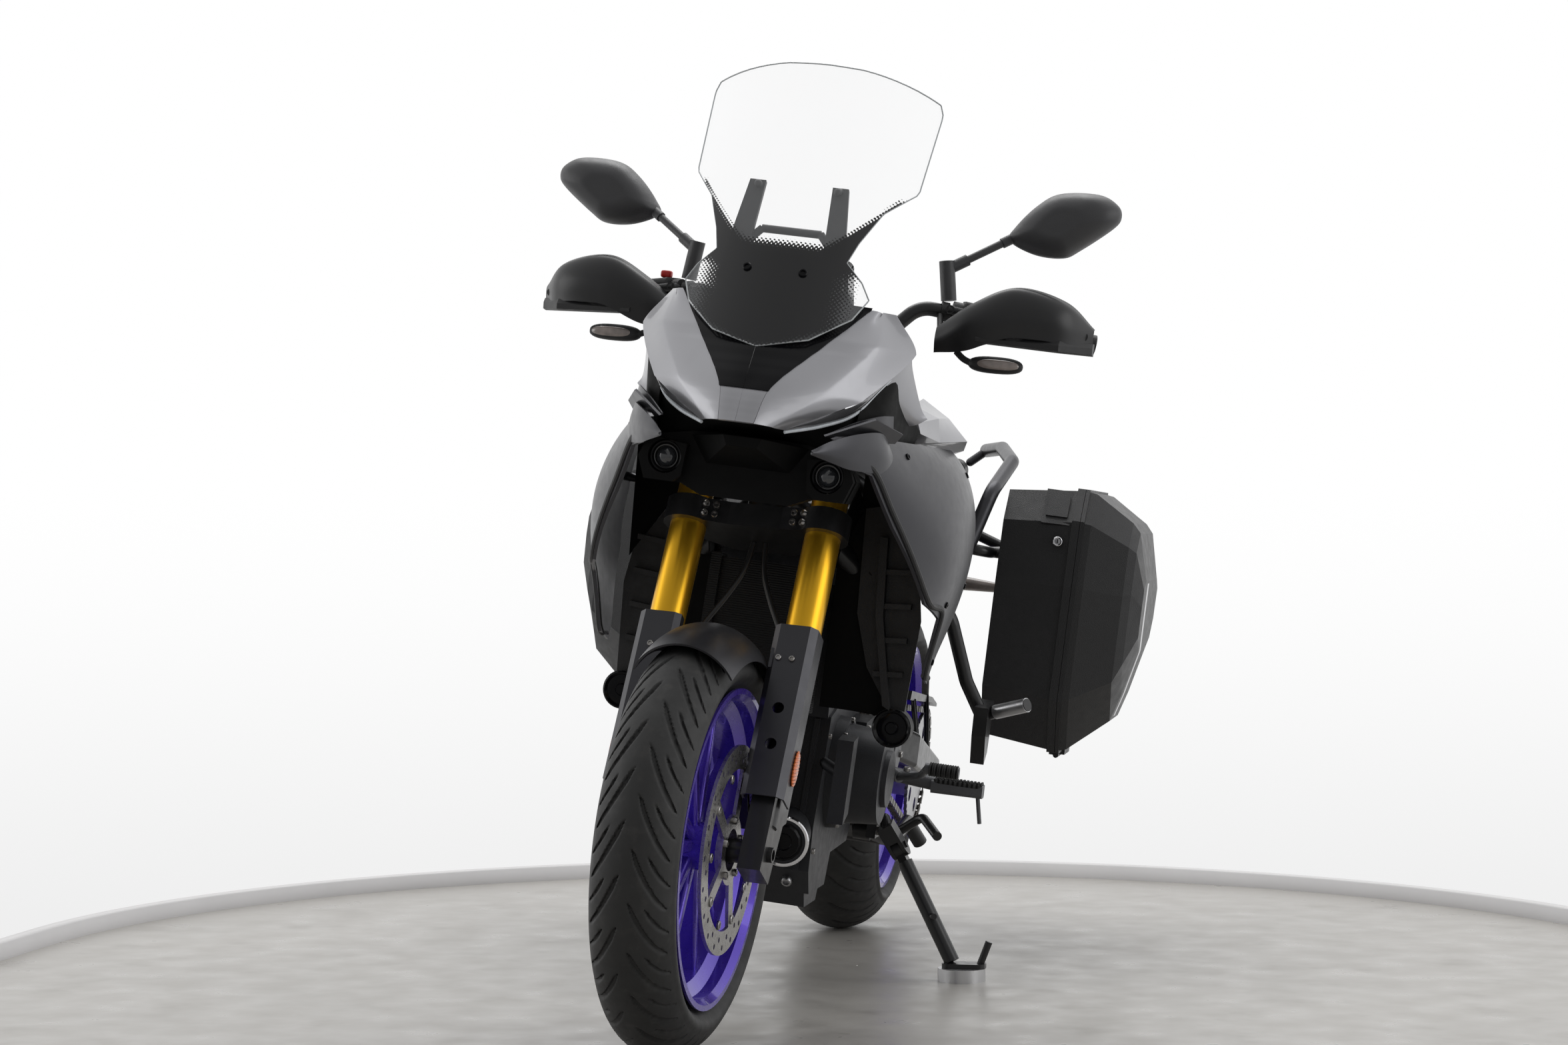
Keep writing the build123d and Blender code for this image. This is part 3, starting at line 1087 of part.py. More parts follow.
SCREEN_ARM = ((50, 186, 1262), (74, 186, 1262), (94, 126, 1112), (58, 126, 1112))
with BuildPart() as screen_mount:
    # the stay that reaches forward from the steering head, with its cross bar behind the lamps
    stay_to((0, 120, 916), (0, 258, 868), main_frame, 12)
    rod((-112, 128, 914), (112, 128, 914), 9)
    for side in (-1, 1):
        stay_to((side * 80, 126, 910), (side * 80, 98, 880), lamp_panel, 6)
    rod((0, 124, 912), (0, 140, 1048), 11)
    rod((-62, 138, 1044), (62, 138, 1044), 8)
    facet(SCREEN_ARM, 9)
    facet([(-x, y, z) for x, y, z in (SCREEN_ARM[1], SCREEN_ARM[0], SCREEN_ARM[3], SCREEN_ARM[2])], 9)
    for side in (-1, 1):
        rod((side * 60, 138, 1040), (side * 76, 131, 1118), 9)
        rod((side * 44, 172, 1190), (side * 72, 158, 1158), 6)
        stay_to((side * 62, 188, 1256), (side * 60, 150, 1262), windscreen, 6)
        stay_to((side * 100, 128, 914), (side * 128, 60, 962), nose_cowl, 6)
    rod((-72, 140, 1140), (72, 140, 1140), 8)
    rod((-44, 172, 1190), (44, 172, 1190), 6)

with BuildPart() as instrument_panel:
    with BuildSketch(Plane(origin=(0, 262, 1120), x_dir=(1, 0, 0), z_dir=(0, 0.8, 0.6))) as face:
        RectangleRounded(176, 104, 14)
    extrude(to_extrude=face.sketch, amount=-26, taper=8)
    for side in (-1, 1):
        stay_to((side * 40, 240, 1106), (side * 40, 138, 1044), screen_mount, 6)

# ---- Side cases and their carriers -----------------------------------------------------------------
CASE_FRONT_Y, CASE_REAR_Y = 1160.0, 1660.0
CASE_SIDE = (
    (1168, 700), (1172, 815), (1214, 872), (1600, 872), (1664, 806), (1652, 600), (1590, 468), (1480, 404),
    (1260, 404), (1176, 500),
)


def drawn_in(ends, bottom, top):
    """The case's side outline drawn in at its two ends, at its bottom and at its top."""
    middle_y = (CASE_FRONT_Y + CASE_REAR_Y) / 2
    half_y = (CASE_REAR_Y - CASE_FRONT_Y) / 2
    height = CASE_TOP_Z - CASE_BOTTOM_Z
    keep_y, keep_z = (half_y - ends) / half_y, (height - bottom - top) / height
    return [
        (middle_y + (y - middle_y) * keep_y, CASE_BOTTOM_Z + bottom + (z - CASE_BOTTOM_Z) * keep_z)
        for y, z in CASE_SIDE
    ]


def case_half(levels, wall=0.0, mode=Mode.ADD):
    """Adds or cuts a case half lofted through its outline: (x, drawn in at ends, bottom, top)."""
    faces = []
    for x, ends, bottom, top in levels:
        with BuildSketch(Plane.YZ.offset(x)) as face:
            Polygon(*drawn_in(ends + wall, bottom + wall, top + wall), align=None)
        faces.append(face.sketch)
    loft(sections=faces, ruled=True, mode=mode)


def hinge_knuckles(spans, lug_from, lug_to):
    """Adds hinge knuckles under the seam, each with the lug that holds it to its own half."""
    for start, end in spans:
        rod((HINGE_X, start, HINGE_Z), (HINGE_X, end, HINGE_Z), HINGE_RADIUS)
        side_plate(
            ((start, HINGE_Z), (end, HINGE_Z), (end, CASE_BOTTOM_Z + 2), (start, CASE_BOTTOM_Z + 2)), lug_from, lug_to,
        )


LID_GAP = 0.8
SEAM_RIB = 3.0
HINGE_X = CASE_SEAM_X + LID_GAP / 2
HINGE_RADIUS = 5.0
HINGE_Z = CASE_BOTTOM_Z - SEAM_RIB - HINGE_RADIUS - 1
SHELL_LEVELS = ((CASE_INNER_X, 14, 14, 14), (CASE_SEAM_X, 0, 0, 0))
LID_LEVELS = (
    (CASE_SEAM_X + LID_GAP, 0, 0, 0), (CASE_SEAM_X + 20, 3, 6, 3), (CASE_OUTER_X - 34, 26, 66, 46),
    (CASE_OUTER_X - 20, 36, 112, 62), (CASE_OUTER_X, 62, 196, 146),
)
with BuildPart() as case_shell_left:
    case_half(SHELL_LEVELS)
    # the rib round the seam
    case_half(((CASE_SEAM_X - 14, -SEAM_RIB, -SEAM_RIB, -SEAM_RIB), (CASE_SEAM_X, -SEAM_RIB, -SEAM_RIB, -SEAM_RIB)))
    case_half(
        ((CASE_INNER_X + CASE_WALL, 14, 14, 14), (CASE_SEAM_X + 1, 0, 0, 0)), wall=CASE_WALL, mode=Mode.SUBTRACT,
    )
    # the latch across its front top corner, with its flap, and the lock below it
    facet(((318, 1172, 808), (368, 1172, 808), (368, 1214, 868), (318, 1214, 868)), -5)
    facet(((324, 1177.9, 821.7), (362, 1177.9, 821.7), (362, 1203.1, 857.7), (324, 1203.1, 857.7)), -4)
    rod((352, 1180, 778), (352, 1163, 778), 9)
    hinge_knuckles(((1290, 1322), (1418, 1450)), CASE_SEAM_X - 12, CASE_SEAM_X)

with BuildPart() as case_lid_left:
    case_half(LID_LEVELS)
    case_half(
        ((CASE_SEAM_X + LID_GAP, -SEAM_RIB, -SEAM_RIB, -SEAM_RIB), (CASE_SEAM_X + 8, -SEAM_RIB, -SEAM_RIB, -SEAM_RIB)),
    )
    case_half(
        [(CASE_SEAM_X - 1, 0, 0, 0)] + [(x - CASE_WALL, *insets) for x, *insets in LID_LEVELS[1:]],
        wall=CASE_WALL, mode=Mode.SUBTRACT,
    )
    hinge_knuckles(((1322.5, 1417.5),), CASE_SEAM_X + LID_GAP, CASE_SEAM_X + 13)

with BuildPart() as case_shell_right:
    mirrored(case_shell_left)

with BuildPart() as case_lid_right:
    mirrored(case_lid_left)

with BuildPart() as case_carriers:
    for side in (-1, 1):
        tube(
            [(side * 128.2, 1190, 750), (side * 232, 1190, 742), (side * 232, 1560, 742), (side * 118, 1560, 780),
             (side * 104, 1560, 812)],
            10, [30, 30, 24],
        )
        rod((side * 232, 1230, 742), (side * 249.5, 1230, 742), 9)
        rod((side * 232, 1500, 742), (side * 249.5, 1500, 742), 9)

# ---- Footrests ------------------------------------------------------------------------------------
with BuildPart() as rider_footrests:
    for side in (-1, 1):
        side_plate(((850, 470), (900, 480), (905, 380), (850, 340), (815, 350)), side * 144.5, side * 160)
        rod((side * 160, 840, 362), (side * 232, 840, 356), 12)
        with BuildSketch(Plane(origin=(side * 228, 840, 352), x_dir=(0, 1, 0), z_dir=(side, 0, 0.02))) as peg:
            RectangleRounded(34, 22, 6)
        extrude(to_extrude=peg.sketch, amount=86)
        rod((side * 306, 840, 344), (side * 314, 846, 300), 3.5)
        rod((side * 152, 846, 366), (side * 176, 810, 360), 9)
    # the shift lever with its toe peg on the left, the brake pedal with its pad on the right
    tube([(172, 814, 360), (216, 770, 372), (240, 650, 396)], 6, 60)
    rod((236, 652, 396), (292, 652, 396), 9)
    tube([(-172, 814, 360), (-212, 770, 352), (-232, 660, 350)], 6, 60)
    side_plate(((640, 346), (676, 346), (676, 360), (640, 360)), -264, -226)

with BuildPart() as passenger_footrests:
    for side in (-1, 1):
        side_plate(((985, 728), (1015, 734), (1015, 702), (985, 696)), side * 135.2, side * 148)
        tube([(side * 143, 1000, 712), (side * 204, 1010, 620), (side * 240, 1030, 520), (side * 268, 1050, 470)], 12, 50)
        side_plate(((1010, 480), (1090, 490), (1080, 400), (1050, 380), (1020, 430)), side * 262, side * 286)
        rod((side * 286, 1050, 470), (side * 352, 1010, 496), 11)

# ---- Stands ---------------------------------------------------------------------------------------
FOOT_WORLD = (324.0, 820.0)
puck_base = to_upright(*FOOT_WORLD, 0)
puck_top = to_upright(*FOOT_WORLD, PUCK_HEIGHT)
floor_up = (puck_top - puck_base).normalized()
pivot_point = Vector(*STAND_PIVOT)
LEG_RADIUS = 13.0
FOOT_PLATE = 8.0

with BuildPart() as stand_puck:
    rod(puck_base, puck_top, PUCK_RADIUS)

ANKLE = puck_top + floor_up * FOOT_PLATE - Vector(16, 0, 0)
LEG_OUT = (ANKLE - pivot_point).normalized()
LEG_FOLDED = Vector(0.12, 0.985, -0.05).normalized()
STAND_AXIS = LEG_OUT.cross(LEG_FOLDED).normalized()
STAND_TRAVEL = degrees(acos(LEG_OUT.dot(LEG_FOLDED)))
EAR_RADIUS = 18.0
EAR_THICKNESS = 14.0
EAR_GAP = 0.5
EAR_REACH = 30.0
CHEEK = 6.0
CLEVIS_TURN = 200.0
CLEVIS_REACH = 44.0
STAND_PIN_RADIUS = 6.0
ear_plane = Plane(origin=pivot_point, x_dir=LEG_OUT, z_dir=STAND_AXIS)
clevis_along = ear_plane.x_dir * cos(radians(CLEVIS_TURN)) + ear_plane.y_dir * sin(radians(CLEVIS_TURN))
clevis_plane = Plane(origin=pivot_point, x_dir=clevis_along, z_dir=STAND_AXIS)

with BuildPart() as side_stand:
    rod(pivot_point + LEG_OUT * (EAR_REACH - 4), ANKLE, LEG_RADIUS)
    with BuildSketch(Plane(origin=puck_top, x_dir=(1, 0, 0), z_dir=floor_up)) as foot:
        with Locations((4, 0)):
            RectangleRounded(72, 40, 12)
    extrude(to_extrude=foot.sketch, amount=FOOT_PLATE)
    rod(puck_top + floor_up * 7 + Vector(30, 0, 0), puck_top + floor_up * 50 + Vector(46, 0, 0), 6)
    with BuildSketch(ear_plane) as ear:
        Circle(EAR_RADIUS)
        with Locations((EAR_REACH / 2, 0)):
            Rectangle(EAR_REACH, 2 * LEG_RADIUS - 4)
        Circle(STAND_PIN_RADIUS + EAR_GAP / 2, mode=Mode.SUBTRACT)
    extrude(to_extrude=ear.sketch, amount=EAR_THICKNESS / 2, both=True)
    # the tang for the rider's heel
    tang = pivot_point + (ANKLE - pivot_point) * 0.6
    rod(tang, tang + Vector(10, -34, 4), 5)

with BuildPart() as stand_bracket:
    with BuildSketch(clevis_plane) as cheeks:
        Circle(EAR_RADIUS)
        with Locations((CLEVIS_REACH / 2, 0)):
            Rectangle(CLEVIS_REACH, 2 * EAR_RADIUS)
    extrude(to_extrude=cheeks.sketch, amount=EAR_THICKNESS / 2 + EAR_GAP + CHEEK, both=True)
    with BuildSketch(clevis_plane) as slot:
        Circle(EAR_RADIUS + 4)
    extrude(to_extrude=slot.sketch, amount=EAR_THICKNESS / 2 + EAR_GAP, both=True, mode=Mode.SUBTRACT)
    pin_end = EAR_THICKNESS / 2 + EAR_GAP + CHEEK + 3
    rod(pivot_point - STAND_AXIS * pin_end, pivot_point + STAND_AXIS * pin_end, STAND_PIN_RADIUS)
    stay_to(pivot_point + clevis_along * 34, (PIVOT_PLATE_X, 868, 296), main_frame, 10)

with BuildPart() as centre_stand:
    for side in (-1, 1):
        tube(
            [(side * 112, CENTRE_PIVOT_Y, CENTRE_PIVOT_Z), (side * 150, 1010, 232), (side * 152, 1170, 250)], 13, 40,
        )
        rod((side * 152, 1170, 250), (side * 176, 1196, 214), 13)
        rod((side * CENTRE_LUG_X, CENTRE_PIVOT_Y, CENTRE_PIVOT_Z), (side * 126, CENTRE_PIVOT_Y, CENTRE_PIVOT_Z), 18)
    rod((-144, 1000, 234), (144, 1000, 234), 11)
    tube([(150, 1006, 240), (200, 992, 282), (240, 905, 262)], 8, 20)

# ---- Written pieces ---------------------------------------------------------------------------------
CHASSIS = {
    "main_frame": main_frame, "engine": engine, "radiator": radiator, "exhaust": exhaust,
    "swingarm": swingarm, "rear_shock": rear_shock, "front_sprocket": front_sprocket,
    "drive_chain": drive_chain, "rear_caliper": rear_caliper, "fuel_tank": fuel_tank,
    "tank_covers": tank_covers, "rider_seat": rider_seat, "passenger_seat": passenger_seat,
    "tail_cowl": tail_cowl, "tail_light": tail_light, "grab_rails": grab_rails,
    "plate_holder": plate_holder, "rear_indicators": rear_indicators, "nose_cowl": nose_cowl,
    "nose_panel": nose_panel, "lamp_panel": lamp_panel, "headlamps": headlamps,
    "fairing_left": fairing_left, "fairing_right": fairing_right, "front_ducts": front_ducts,
    "windscreen": windscreen, "screen_mount": screen_mount, "instrument_panel": instrument_panel,
    "case_shell_left": case_shell_left, "case_shell_right": case_shell_right,
    "case_carriers": case_carriers, "rider_footrests": rider_footrests,
    "passenger_footrests": passenger_footrests, "stand_bracket": stand_bracket,
}
UNTURNED = {
    "rear_tyre": rear_tyre, "rear_rim": rear_rim, "rear_disc": rear_disc, "rear_sprocket": rear_sprocket,
    "side_stand": side_stand, "stand_puck": stand_puck, "centre_stand": centre_stand,
    "case_lid_left": case_lid_left, "case_lid_right": case_lid_right,
}
STEERED = {
    "fork_tubes": fork_tubes, "fork_sliders": fork_sliders, "triple_clamps": triple_clamps,
    "handlebar": handlebar, "hand_grips": hand_grips, "switchgear": switchgear, "mirrors": mirrors,
    "hand_guards": hand_guards, "front_indicators": front_indicators, "front_fender": front_fender,
    "front_calipers": front_calipers, "front_tyre": front_tyre, "front_rim": front_rim,
    "front_discs": front_discs,
}

os.makedirs("parts", exist_ok=True)
placed = {}
for pieces, stance in ((CHASSIS, LEANED), (UNTURNED, LEANED), (STEERED, LEANED * TURNED)):
    for name, piece in pieces.items():
        placed[name] = stance * piece.part
boxes = [piece.bounding_box() for piece in placed.values()]
middle = Vector(
    (min(b.min.X for b in boxes) + max(b.max.X for b in boxes)) / 2,
    (min(b.min.Y for b in boxes) + max(b.max.Y for b in boxes)) / 2,
    0,
)
HOME = Pos(-middle.X, -middle.Y, 0)
for name, piece in placed.items():
    piece = HOME * piece
    piece.label = name
    export_step(piece, f"parts/{name}.step")
    if len(piece.solids()) == 0:
        print("no solid:", name)
low, high = min(b.min.Z for b in boxes), max(b.max.Z for b in boxes)
print("lowest", round(low, 3), "highest", round(high, 1), "shift", middle)
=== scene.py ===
"""Looks of a sport touring motorcycle parked on its side stand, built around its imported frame."""
import json
import math

import bmesh
import bpy
import numpy as np
from mathutils import Matrix, Vector


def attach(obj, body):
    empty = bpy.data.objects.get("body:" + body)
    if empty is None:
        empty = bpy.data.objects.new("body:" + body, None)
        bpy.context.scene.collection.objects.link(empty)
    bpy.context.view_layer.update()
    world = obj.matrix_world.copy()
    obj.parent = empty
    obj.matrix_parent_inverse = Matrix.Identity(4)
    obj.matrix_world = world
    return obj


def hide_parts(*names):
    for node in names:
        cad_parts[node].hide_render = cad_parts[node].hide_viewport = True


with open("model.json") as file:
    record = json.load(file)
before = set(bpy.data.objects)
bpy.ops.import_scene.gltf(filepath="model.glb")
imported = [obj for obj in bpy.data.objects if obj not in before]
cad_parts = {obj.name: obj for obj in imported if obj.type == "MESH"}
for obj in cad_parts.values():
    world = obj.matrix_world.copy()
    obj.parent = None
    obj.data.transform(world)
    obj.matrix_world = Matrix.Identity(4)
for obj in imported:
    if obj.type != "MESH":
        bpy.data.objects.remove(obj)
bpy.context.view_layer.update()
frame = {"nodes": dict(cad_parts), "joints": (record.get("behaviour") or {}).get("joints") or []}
nodes = frame["nodes"]
joints = {joint["name"]: joint for joint in frame["joints"]}

# ---- The machine's own axes ----------------------------------------------------------------------
WHEELBASE = 1495.0
FRONT_TYRE_RADIUS = 300.0
REAR_TYRE_RADIUS = 315.0
RAKE = math.radians(25.0)
LEG_X = 103.0
MM = 0.001
SIDES = ((1, "left"), (-1, "right"))


def unit(vectors):
    """Vectors divided by their own lengths."""
    vectors = np.asarray(vectors, float)
    return vectors / np.linalg.norm(vectors, axis=-1, keepdims=True)


def turns(count):
    """Angles spaced evenly round a circle: 2 pi k / count for k from 0."""
    return np.linspace(0, 2 * math.pi, count, endpoint=False)


rear_axle = np.array(joints["rear_wheel_spin"]["pos_m"])
front_axle = np.array(joints["front_wheel_spin"]["pos_m"])
left = unit(joints["rear_wheel_spin"]["axis"])
steering_up = unit(joints["steering"]["axis"])
steered_left = unit(joints["front_wheel_spin"]["axis"])
rearward = unit(np.cross([0.0, 0.0, 1.0], left))
upward = np.cross(left, rearward)
BIKE_AXES = np.array([left, rearward, upward])
BIKE_ORIGIN = rear_axle - np.array([0.0, WHEELBASE, REAR_TYRE_RADIUS]) * MM @ BIKE_AXES
fork_back = unit(np.cross(steering_up, steered_left))
fork_rearward = math.cos(RAKE) * fork_back + math.sin(RAKE) * steering_up
fork_upward = math.cos(RAKE) * steering_up - math.sin(RAKE) * fork_back
FORK_AXES = np.array([steered_left, fork_rearward, fork_upward])
FORK_ORIGIN = front_axle - np.array([0.0, 0.0, FRONT_TYRE_RADIUS]) * MM @ FORK_AXES


def on_bike(points):
    """Upright points, in millimetres with the front axle over the origin, set on the leaning machine."""
    return BIKE_ORIGIN + (np.asarray(points, float) * MM) @ BIKE_AXES


def on_fork(points):
    """Upright points set on what turns with the handlebar, in the same way."""
    return FORK_ORIGIN + (np.asarray(points, float) * MM) @ FORK_AXES


def up_fork(across, back, height):
    """Upright points given across the fork, behind the line of its legs, and up them from the axle."""
    across, back, height = np.broadcast_arrays(across, back, height)
    y = back * math.cos(RAKE) + height * math.sin(RAKE)
    z = FRONT_TYRE_RADIUS - back * math.sin(RAKE) + height * math.cos(RAKE)
    return np.stack([across, y, z], -1)


# ---- Materials -----------------------------------------------------------------------------------
def socket(node, name, value):
    """Sets one input of a node by name."""
    node.inputs[name].default_value = value


class Finish:
    """A material being built: its node tree, its Principled shader, and small steps that add nodes."""

    def __init__(self, name):
        self.material = bpy.data.materials.new(name)
        self.material.use_nodes = True
        self.nodes = self.material.node_tree.nodes
        self.links = self.material.node_tree.links
        self.shader = self.nodes["Principled BSDF"]
        self.place = self.nodes.new("ShaderNodeTexCoord").outputs["Object"]

    def math(self, operation, first, second=0.5, third=0.5):
        """One sum on values, each a number or an output."""
        node = self.nodes.new("ShaderNodeMath")
        node.operation = operation
        for index, value in enumerate((first, second, third)):
            if isinstance(value, (int, float)):
                node.inputs[index].default_value = value
            else:
                self.links.new(value, node.inputs[index])
        return node.outputs[0]

    def bike_place(self):
        """The point in metres on the upright machine's axes, split as (across, rearward, up)."""
        mapping = self.nodes.new("ShaderNodeMapping")
        turn = Matrix(BIKE_AXES.tolist())
        socket(mapping, "Rotation", turn.to_euler("XYZ"))
        socket(mapping, "Location", -(turn @ Vector(BIKE_ORIGIN)))
        self.links.new(self.place, mapping.inputs["Vector"])
        split = self.nodes.new("ShaderNodeSeparateXYZ")
        self.links.new(mapping.outputs["Vector"], split.inputs["Vector"])
        return split.outputs["X"], split.outputs["Y"], split.outputs["Z"]

    def noise(self, scale, detail=3.0):
        """Cloudy noise between about 0.3 and 0.7."""
        texture = self.nodes.new("ShaderNodeTexNoise")
        socket(texture, "Scale", scale)
        socket(texture, "Detail", detail)
        self.links.new(self.place, texture.inputs["Vector"])
        return texture.outputs["Fac"]

    def cells(self, scale):
        """Distance to the nearest of many scattered points, for pebbled plastic and leather."""
        texture = self.nodes.new("ShaderNodeTexVoronoi")
        socket(texture, "Scale", scale)
        self.links.new(self.place, texture.inputs["Vector"])
        return texture.outputs["Distance"]

    def spread(self, value, low, high, start=0.3, end=0.7):
        """Carries a value that runs from start to end onto low to high."""
        node = self.nodes.new("ShaderNodeMapRange")
        for name, number in (("From Min", start), ("From Max", end), ("To Min", low), ("To Max", high)):
            socket(node, name, number)
        self.links.new(value, node.inputs["Value"])
        return node.outputs["Result"]

    def mix(self, share, first, second):
        """A colour between two, each a triple or an output, by a share from 0 to 1."""
        node = self.nodes.new("ShaderNodeMix")
        node.data_type = "RGBA"
        self.links.new(share, node.inputs[0])
        for index, colour in ((6, first), (7, second)):
            if isinstance(colour, tuple):
                node.inputs[index].default_value = (*colour, 1.0)
            else:
                self.links.new(colour, node.inputs[index])
        return node.outputs[2]

    def shader_input(self, name, output):
        """Drives one input of the shader by what a node gives."""
        self.links.new(output, self.shader.inputs[name])

    def bump(self, height, strength, distance=0.0006):
        """Bends the surface's normals as if it rose and fell by the height."""
        node = self.nodes.new("ShaderNodeBump")
        socket(node, "Strength", strength)
        socket(node, "Distance", distance)
        self.links.new(height, node.inputs["Height"])
        self.shader_input("Normal", node.outputs["Normal"])


def surface(name, colour, roughness, metallic=0.0, coat=0.0, vary=0.08, vary_scale=9.0, grain=0.0,
            grain_scale=900.0, roughness_vary=0.05, pebbled=False, ribs=None, wear=None, specular=0.5):
    """A finish: its colour shifts with broad cloudy noise, its gloss with finer noise, its height with grain.

    ribs is (axis, pitch in metres) for raised bars across one of the machine's axes, and wear a second
    colour that shows through in the patches where a finer noise is highest.
    """
    finish = Finish(name)
    dark = tuple(part * (1 - vary) for part in colour)
    light = tuple(min(1.0, part * (1 + vary)) for part in colour)
    shade = finish.mix(finish.spread(finish.noise(vary_scale), 0.0, 1.0), dark, light)
    if wear is not None:
        patches = finish.spread(finish.noise(vary_scale * 5, 6.0), 0.0, 1.0, 0.56, 0.72)
        shade = finish.mix(patches, shade, wear)
    finish.shader_input("Base Color", shade)
    fine = finish.noise(vary_scale * 7)
    gloss = finish.spread(fine, roughness - roughness_vary, roughness + roughness_vary)
    finish.shader_input("Roughness", gloss)
    socket(finish.shader, "Metallic", metallic)
    socket(finish.shader, "Specular IOR Level", specular)
    if coat:
        socket(finish.shader, "Coat Weight", coat)
        socket(finish.shader, "Coat Roughness", 0.05)
    if ribs is not None:
        axis, pitch = ribs
        wave = finish.math("SINE", finish.math("MULTIPLY", finish.bike_place()[axis], 2 * math.pi / pitch))
        finish.bump(wave, 0.9, pitch / 5)
    elif grain:
        height = finish.cells(grain_scale) if pebbled else finish.noise(grain_scale, 2.0)
        finish.bump(height, grain)
    return finish.material


silver_paint = surface("silver_paint", (0.34, 0.34, 0.36), 0.34, 0.6, coat=0.5, vary=0.03,
                       roughness_vary=0.02, grain=0.05, grain_scale=2600)
satin_grey = surface("satin_grey", (0.056, 0.056, 0.062), 0.33, 0.65, vary=0.05, roughness_vary=0.03,
                     grain=0.04, grain_scale=2200)
gloss_black = surface("gloss_black", (0.004, 0.004, 0.005), 0.16, roughness_vary=0.02, specular=0.14)
# painted shade: a near-black for the lamp panel and for the sheets in the gaps behind the nose, where shade
# falls
shadow_black = surface("shadow_black", (0.004, 0.004, 0.004), 0.6, vary=0.2, specular=0.12)
wedge_glass = surface("wedge_glass", (0.20, 0.20, 0.21), 0.16, 0.6, coat=0.6, vary=0.12, vary_scale=30.0)
moulded_black = surface("moulded_black", (0.011, 0.011, 0.012), 0.50, grain=0.35, grain_scale=1100,
                        pebbled=True)
guard_black = surface("guard_black", (0.011, 0.011, 0.012), 0.36, roughness_vary=0.03, grain=0.1,
                      grain_scale=1400)
mirror_grey = surface("mirror_grey", (0.045, 0.045, 0.048), 0.40, grain=0.25, grain_scale=1300, pebbled=True)
case_black = surface("case_black", (0.016, 0.016, 0.017), 0.42, grain=0.55, grain_scale=900,
                     roughness_vary=0.06, pebbled=True)
frame_black = surface("frame_black", (0.014, 0.014, 0.015), 0.36, 0.2, coat=0.2, grain=0.08, grain_scale=1200)
cast_grey = surface("cast_grey", (0.11, 0.112, 0.118), 0.46, 0.6, grain=0.3, grain_scale=700, vary=0.1)
cast_dark = surface("cast_dark", (0.032, 0.033, 0.037), 0.48, 0.45, grain=0.35, grain_scale=700, vary=0.12)
gold_anodised = surface("gold_anodised", (0.84, 0.46, 0.025), 0.30, 0.9, vary=0.02, roughness_vary=0.004)
chrome = surface("chrome", (0.75, 0.75, 0.77), 0.08, 1.0, vary=0.02, roughness_vary=0.02)
steel = surface("steel", (0.42, 0.42, 0.43), 0.32, 1.0, grain=0.1, grain_scale=600, vary=0.08)
bolt_steel = surface("bolt_steel", (0.34, 0.33, 0.32), 0.28, 1.0, grain=0.1, grain_scale=900, vary=0.2,
                     wear=(0.16, 0.14, 0.12))
dark_steel = surface("dark_steel", (0.10, 0.09, 0.085), 0.42, 0.9, grain=0.15, grain_scale=300, vary=0.2,
                     wear=(0.16, 0.11, 0.07))
chain_steel = surface("chain_steel", (0.14, 0.13, 0.12), 0.38, 0.9, vary=0.25, wear=(0.05, 0.04, 0.035))
aluminium = surface("aluminium", (0.62, 0.62, 0.63), 0.35, 1.0, grain=0.15, grain_scale=900, vary=0.05)
violet_paint = surface("violet_paint", (0.10, 0.05, 0.52), 0.28, 0.6, coat=0.7, vary=0.08,
                       roughness_vary=0.03, grain=0.05, grain_scale=2400)
tyre_rubber = surface("tyre_rubber", (0.017, 0.017, 0.017), 0.60, grain=0.3, grain_scale=1500, vary=0.2,
                      wear=(0.028, 0.027, 0.026))
grip_rubber = surface("grip_rubber", (0.012, 0.012, 0.012), 0.72, ribs=(0, 0.006))
peg_rubber = surface("peg_rubber", (0.012, 0.012, 0.012), 0.70, ribs=(0, 0.008))
seat_cover = surface("seat_cover", (0.016, 0.016, 0.017), 0.56, grain=0.75, grain_scale=520, vary=0.15,
                     pebbled=True)
radiator_core = surface("radiator_core", (0.012, 0.012, 0.013), 0.55, 0.3, ribs=(2, 0.0035))
red_lens = surface("red_lens", (0.30, 0.008, 0.006), 0.14, coat=1.0, ribs=(0, 0.007))
smoked_lens = surface("smoked_lens", (0.26, 0.22, 0.20), 0.10, coat=1.0, vary=0.25, vary_scale=60.0)
amber_lens = surface("amber_lens", (0.80, 0.16, 0.01), 0.14, coat=1.0, ribs=(2, 0.005))
screen_black = surface("screen_black", (0.006, 0.006, 0.007), 0.10, coat=1.0, roughness_vary=0.01)
mirror_glass = surface("mirror_glass", (0.78, 0.80, 0.82), 0.03, 1.0, vary=0.01, roughness_vary=0.01)
switch_red = surface("switch_red", (0.55, 0.02, 0.015), 0.35)
lamp_body = surface("lamp_body", (0.012, 0.012, 0.013), 0.22, coat=0.6)
light_strip = surface("light_strip", (0.72, 0.76, 0.80), 0.3, vary=0.1, vary_scale=120.0)
lens_glass = surface("lens_glass", (0.03, 0.032, 0.036), 0.04, coat=1.0, roughness_vary=0.01)
edge_glass = surface("edge_glass", (0.42, 0.44, 0.45), 0.2, vary=0.1)
disc_steel = surface("drilled_steel", (0.46, 0.45, 0.44), 0.30, 1.0, grain=0.35, grain_scale=900, vary=0.12,
                     vary_scale=30.0, wear=(0.30, 0.28, 0.26))
CLEAR_PLASTIC, PRINT_BLACK = (0.93, 0.95, 0.97), (0.010, 0.010, 0.011)
DOT_PITCH = 0.0065


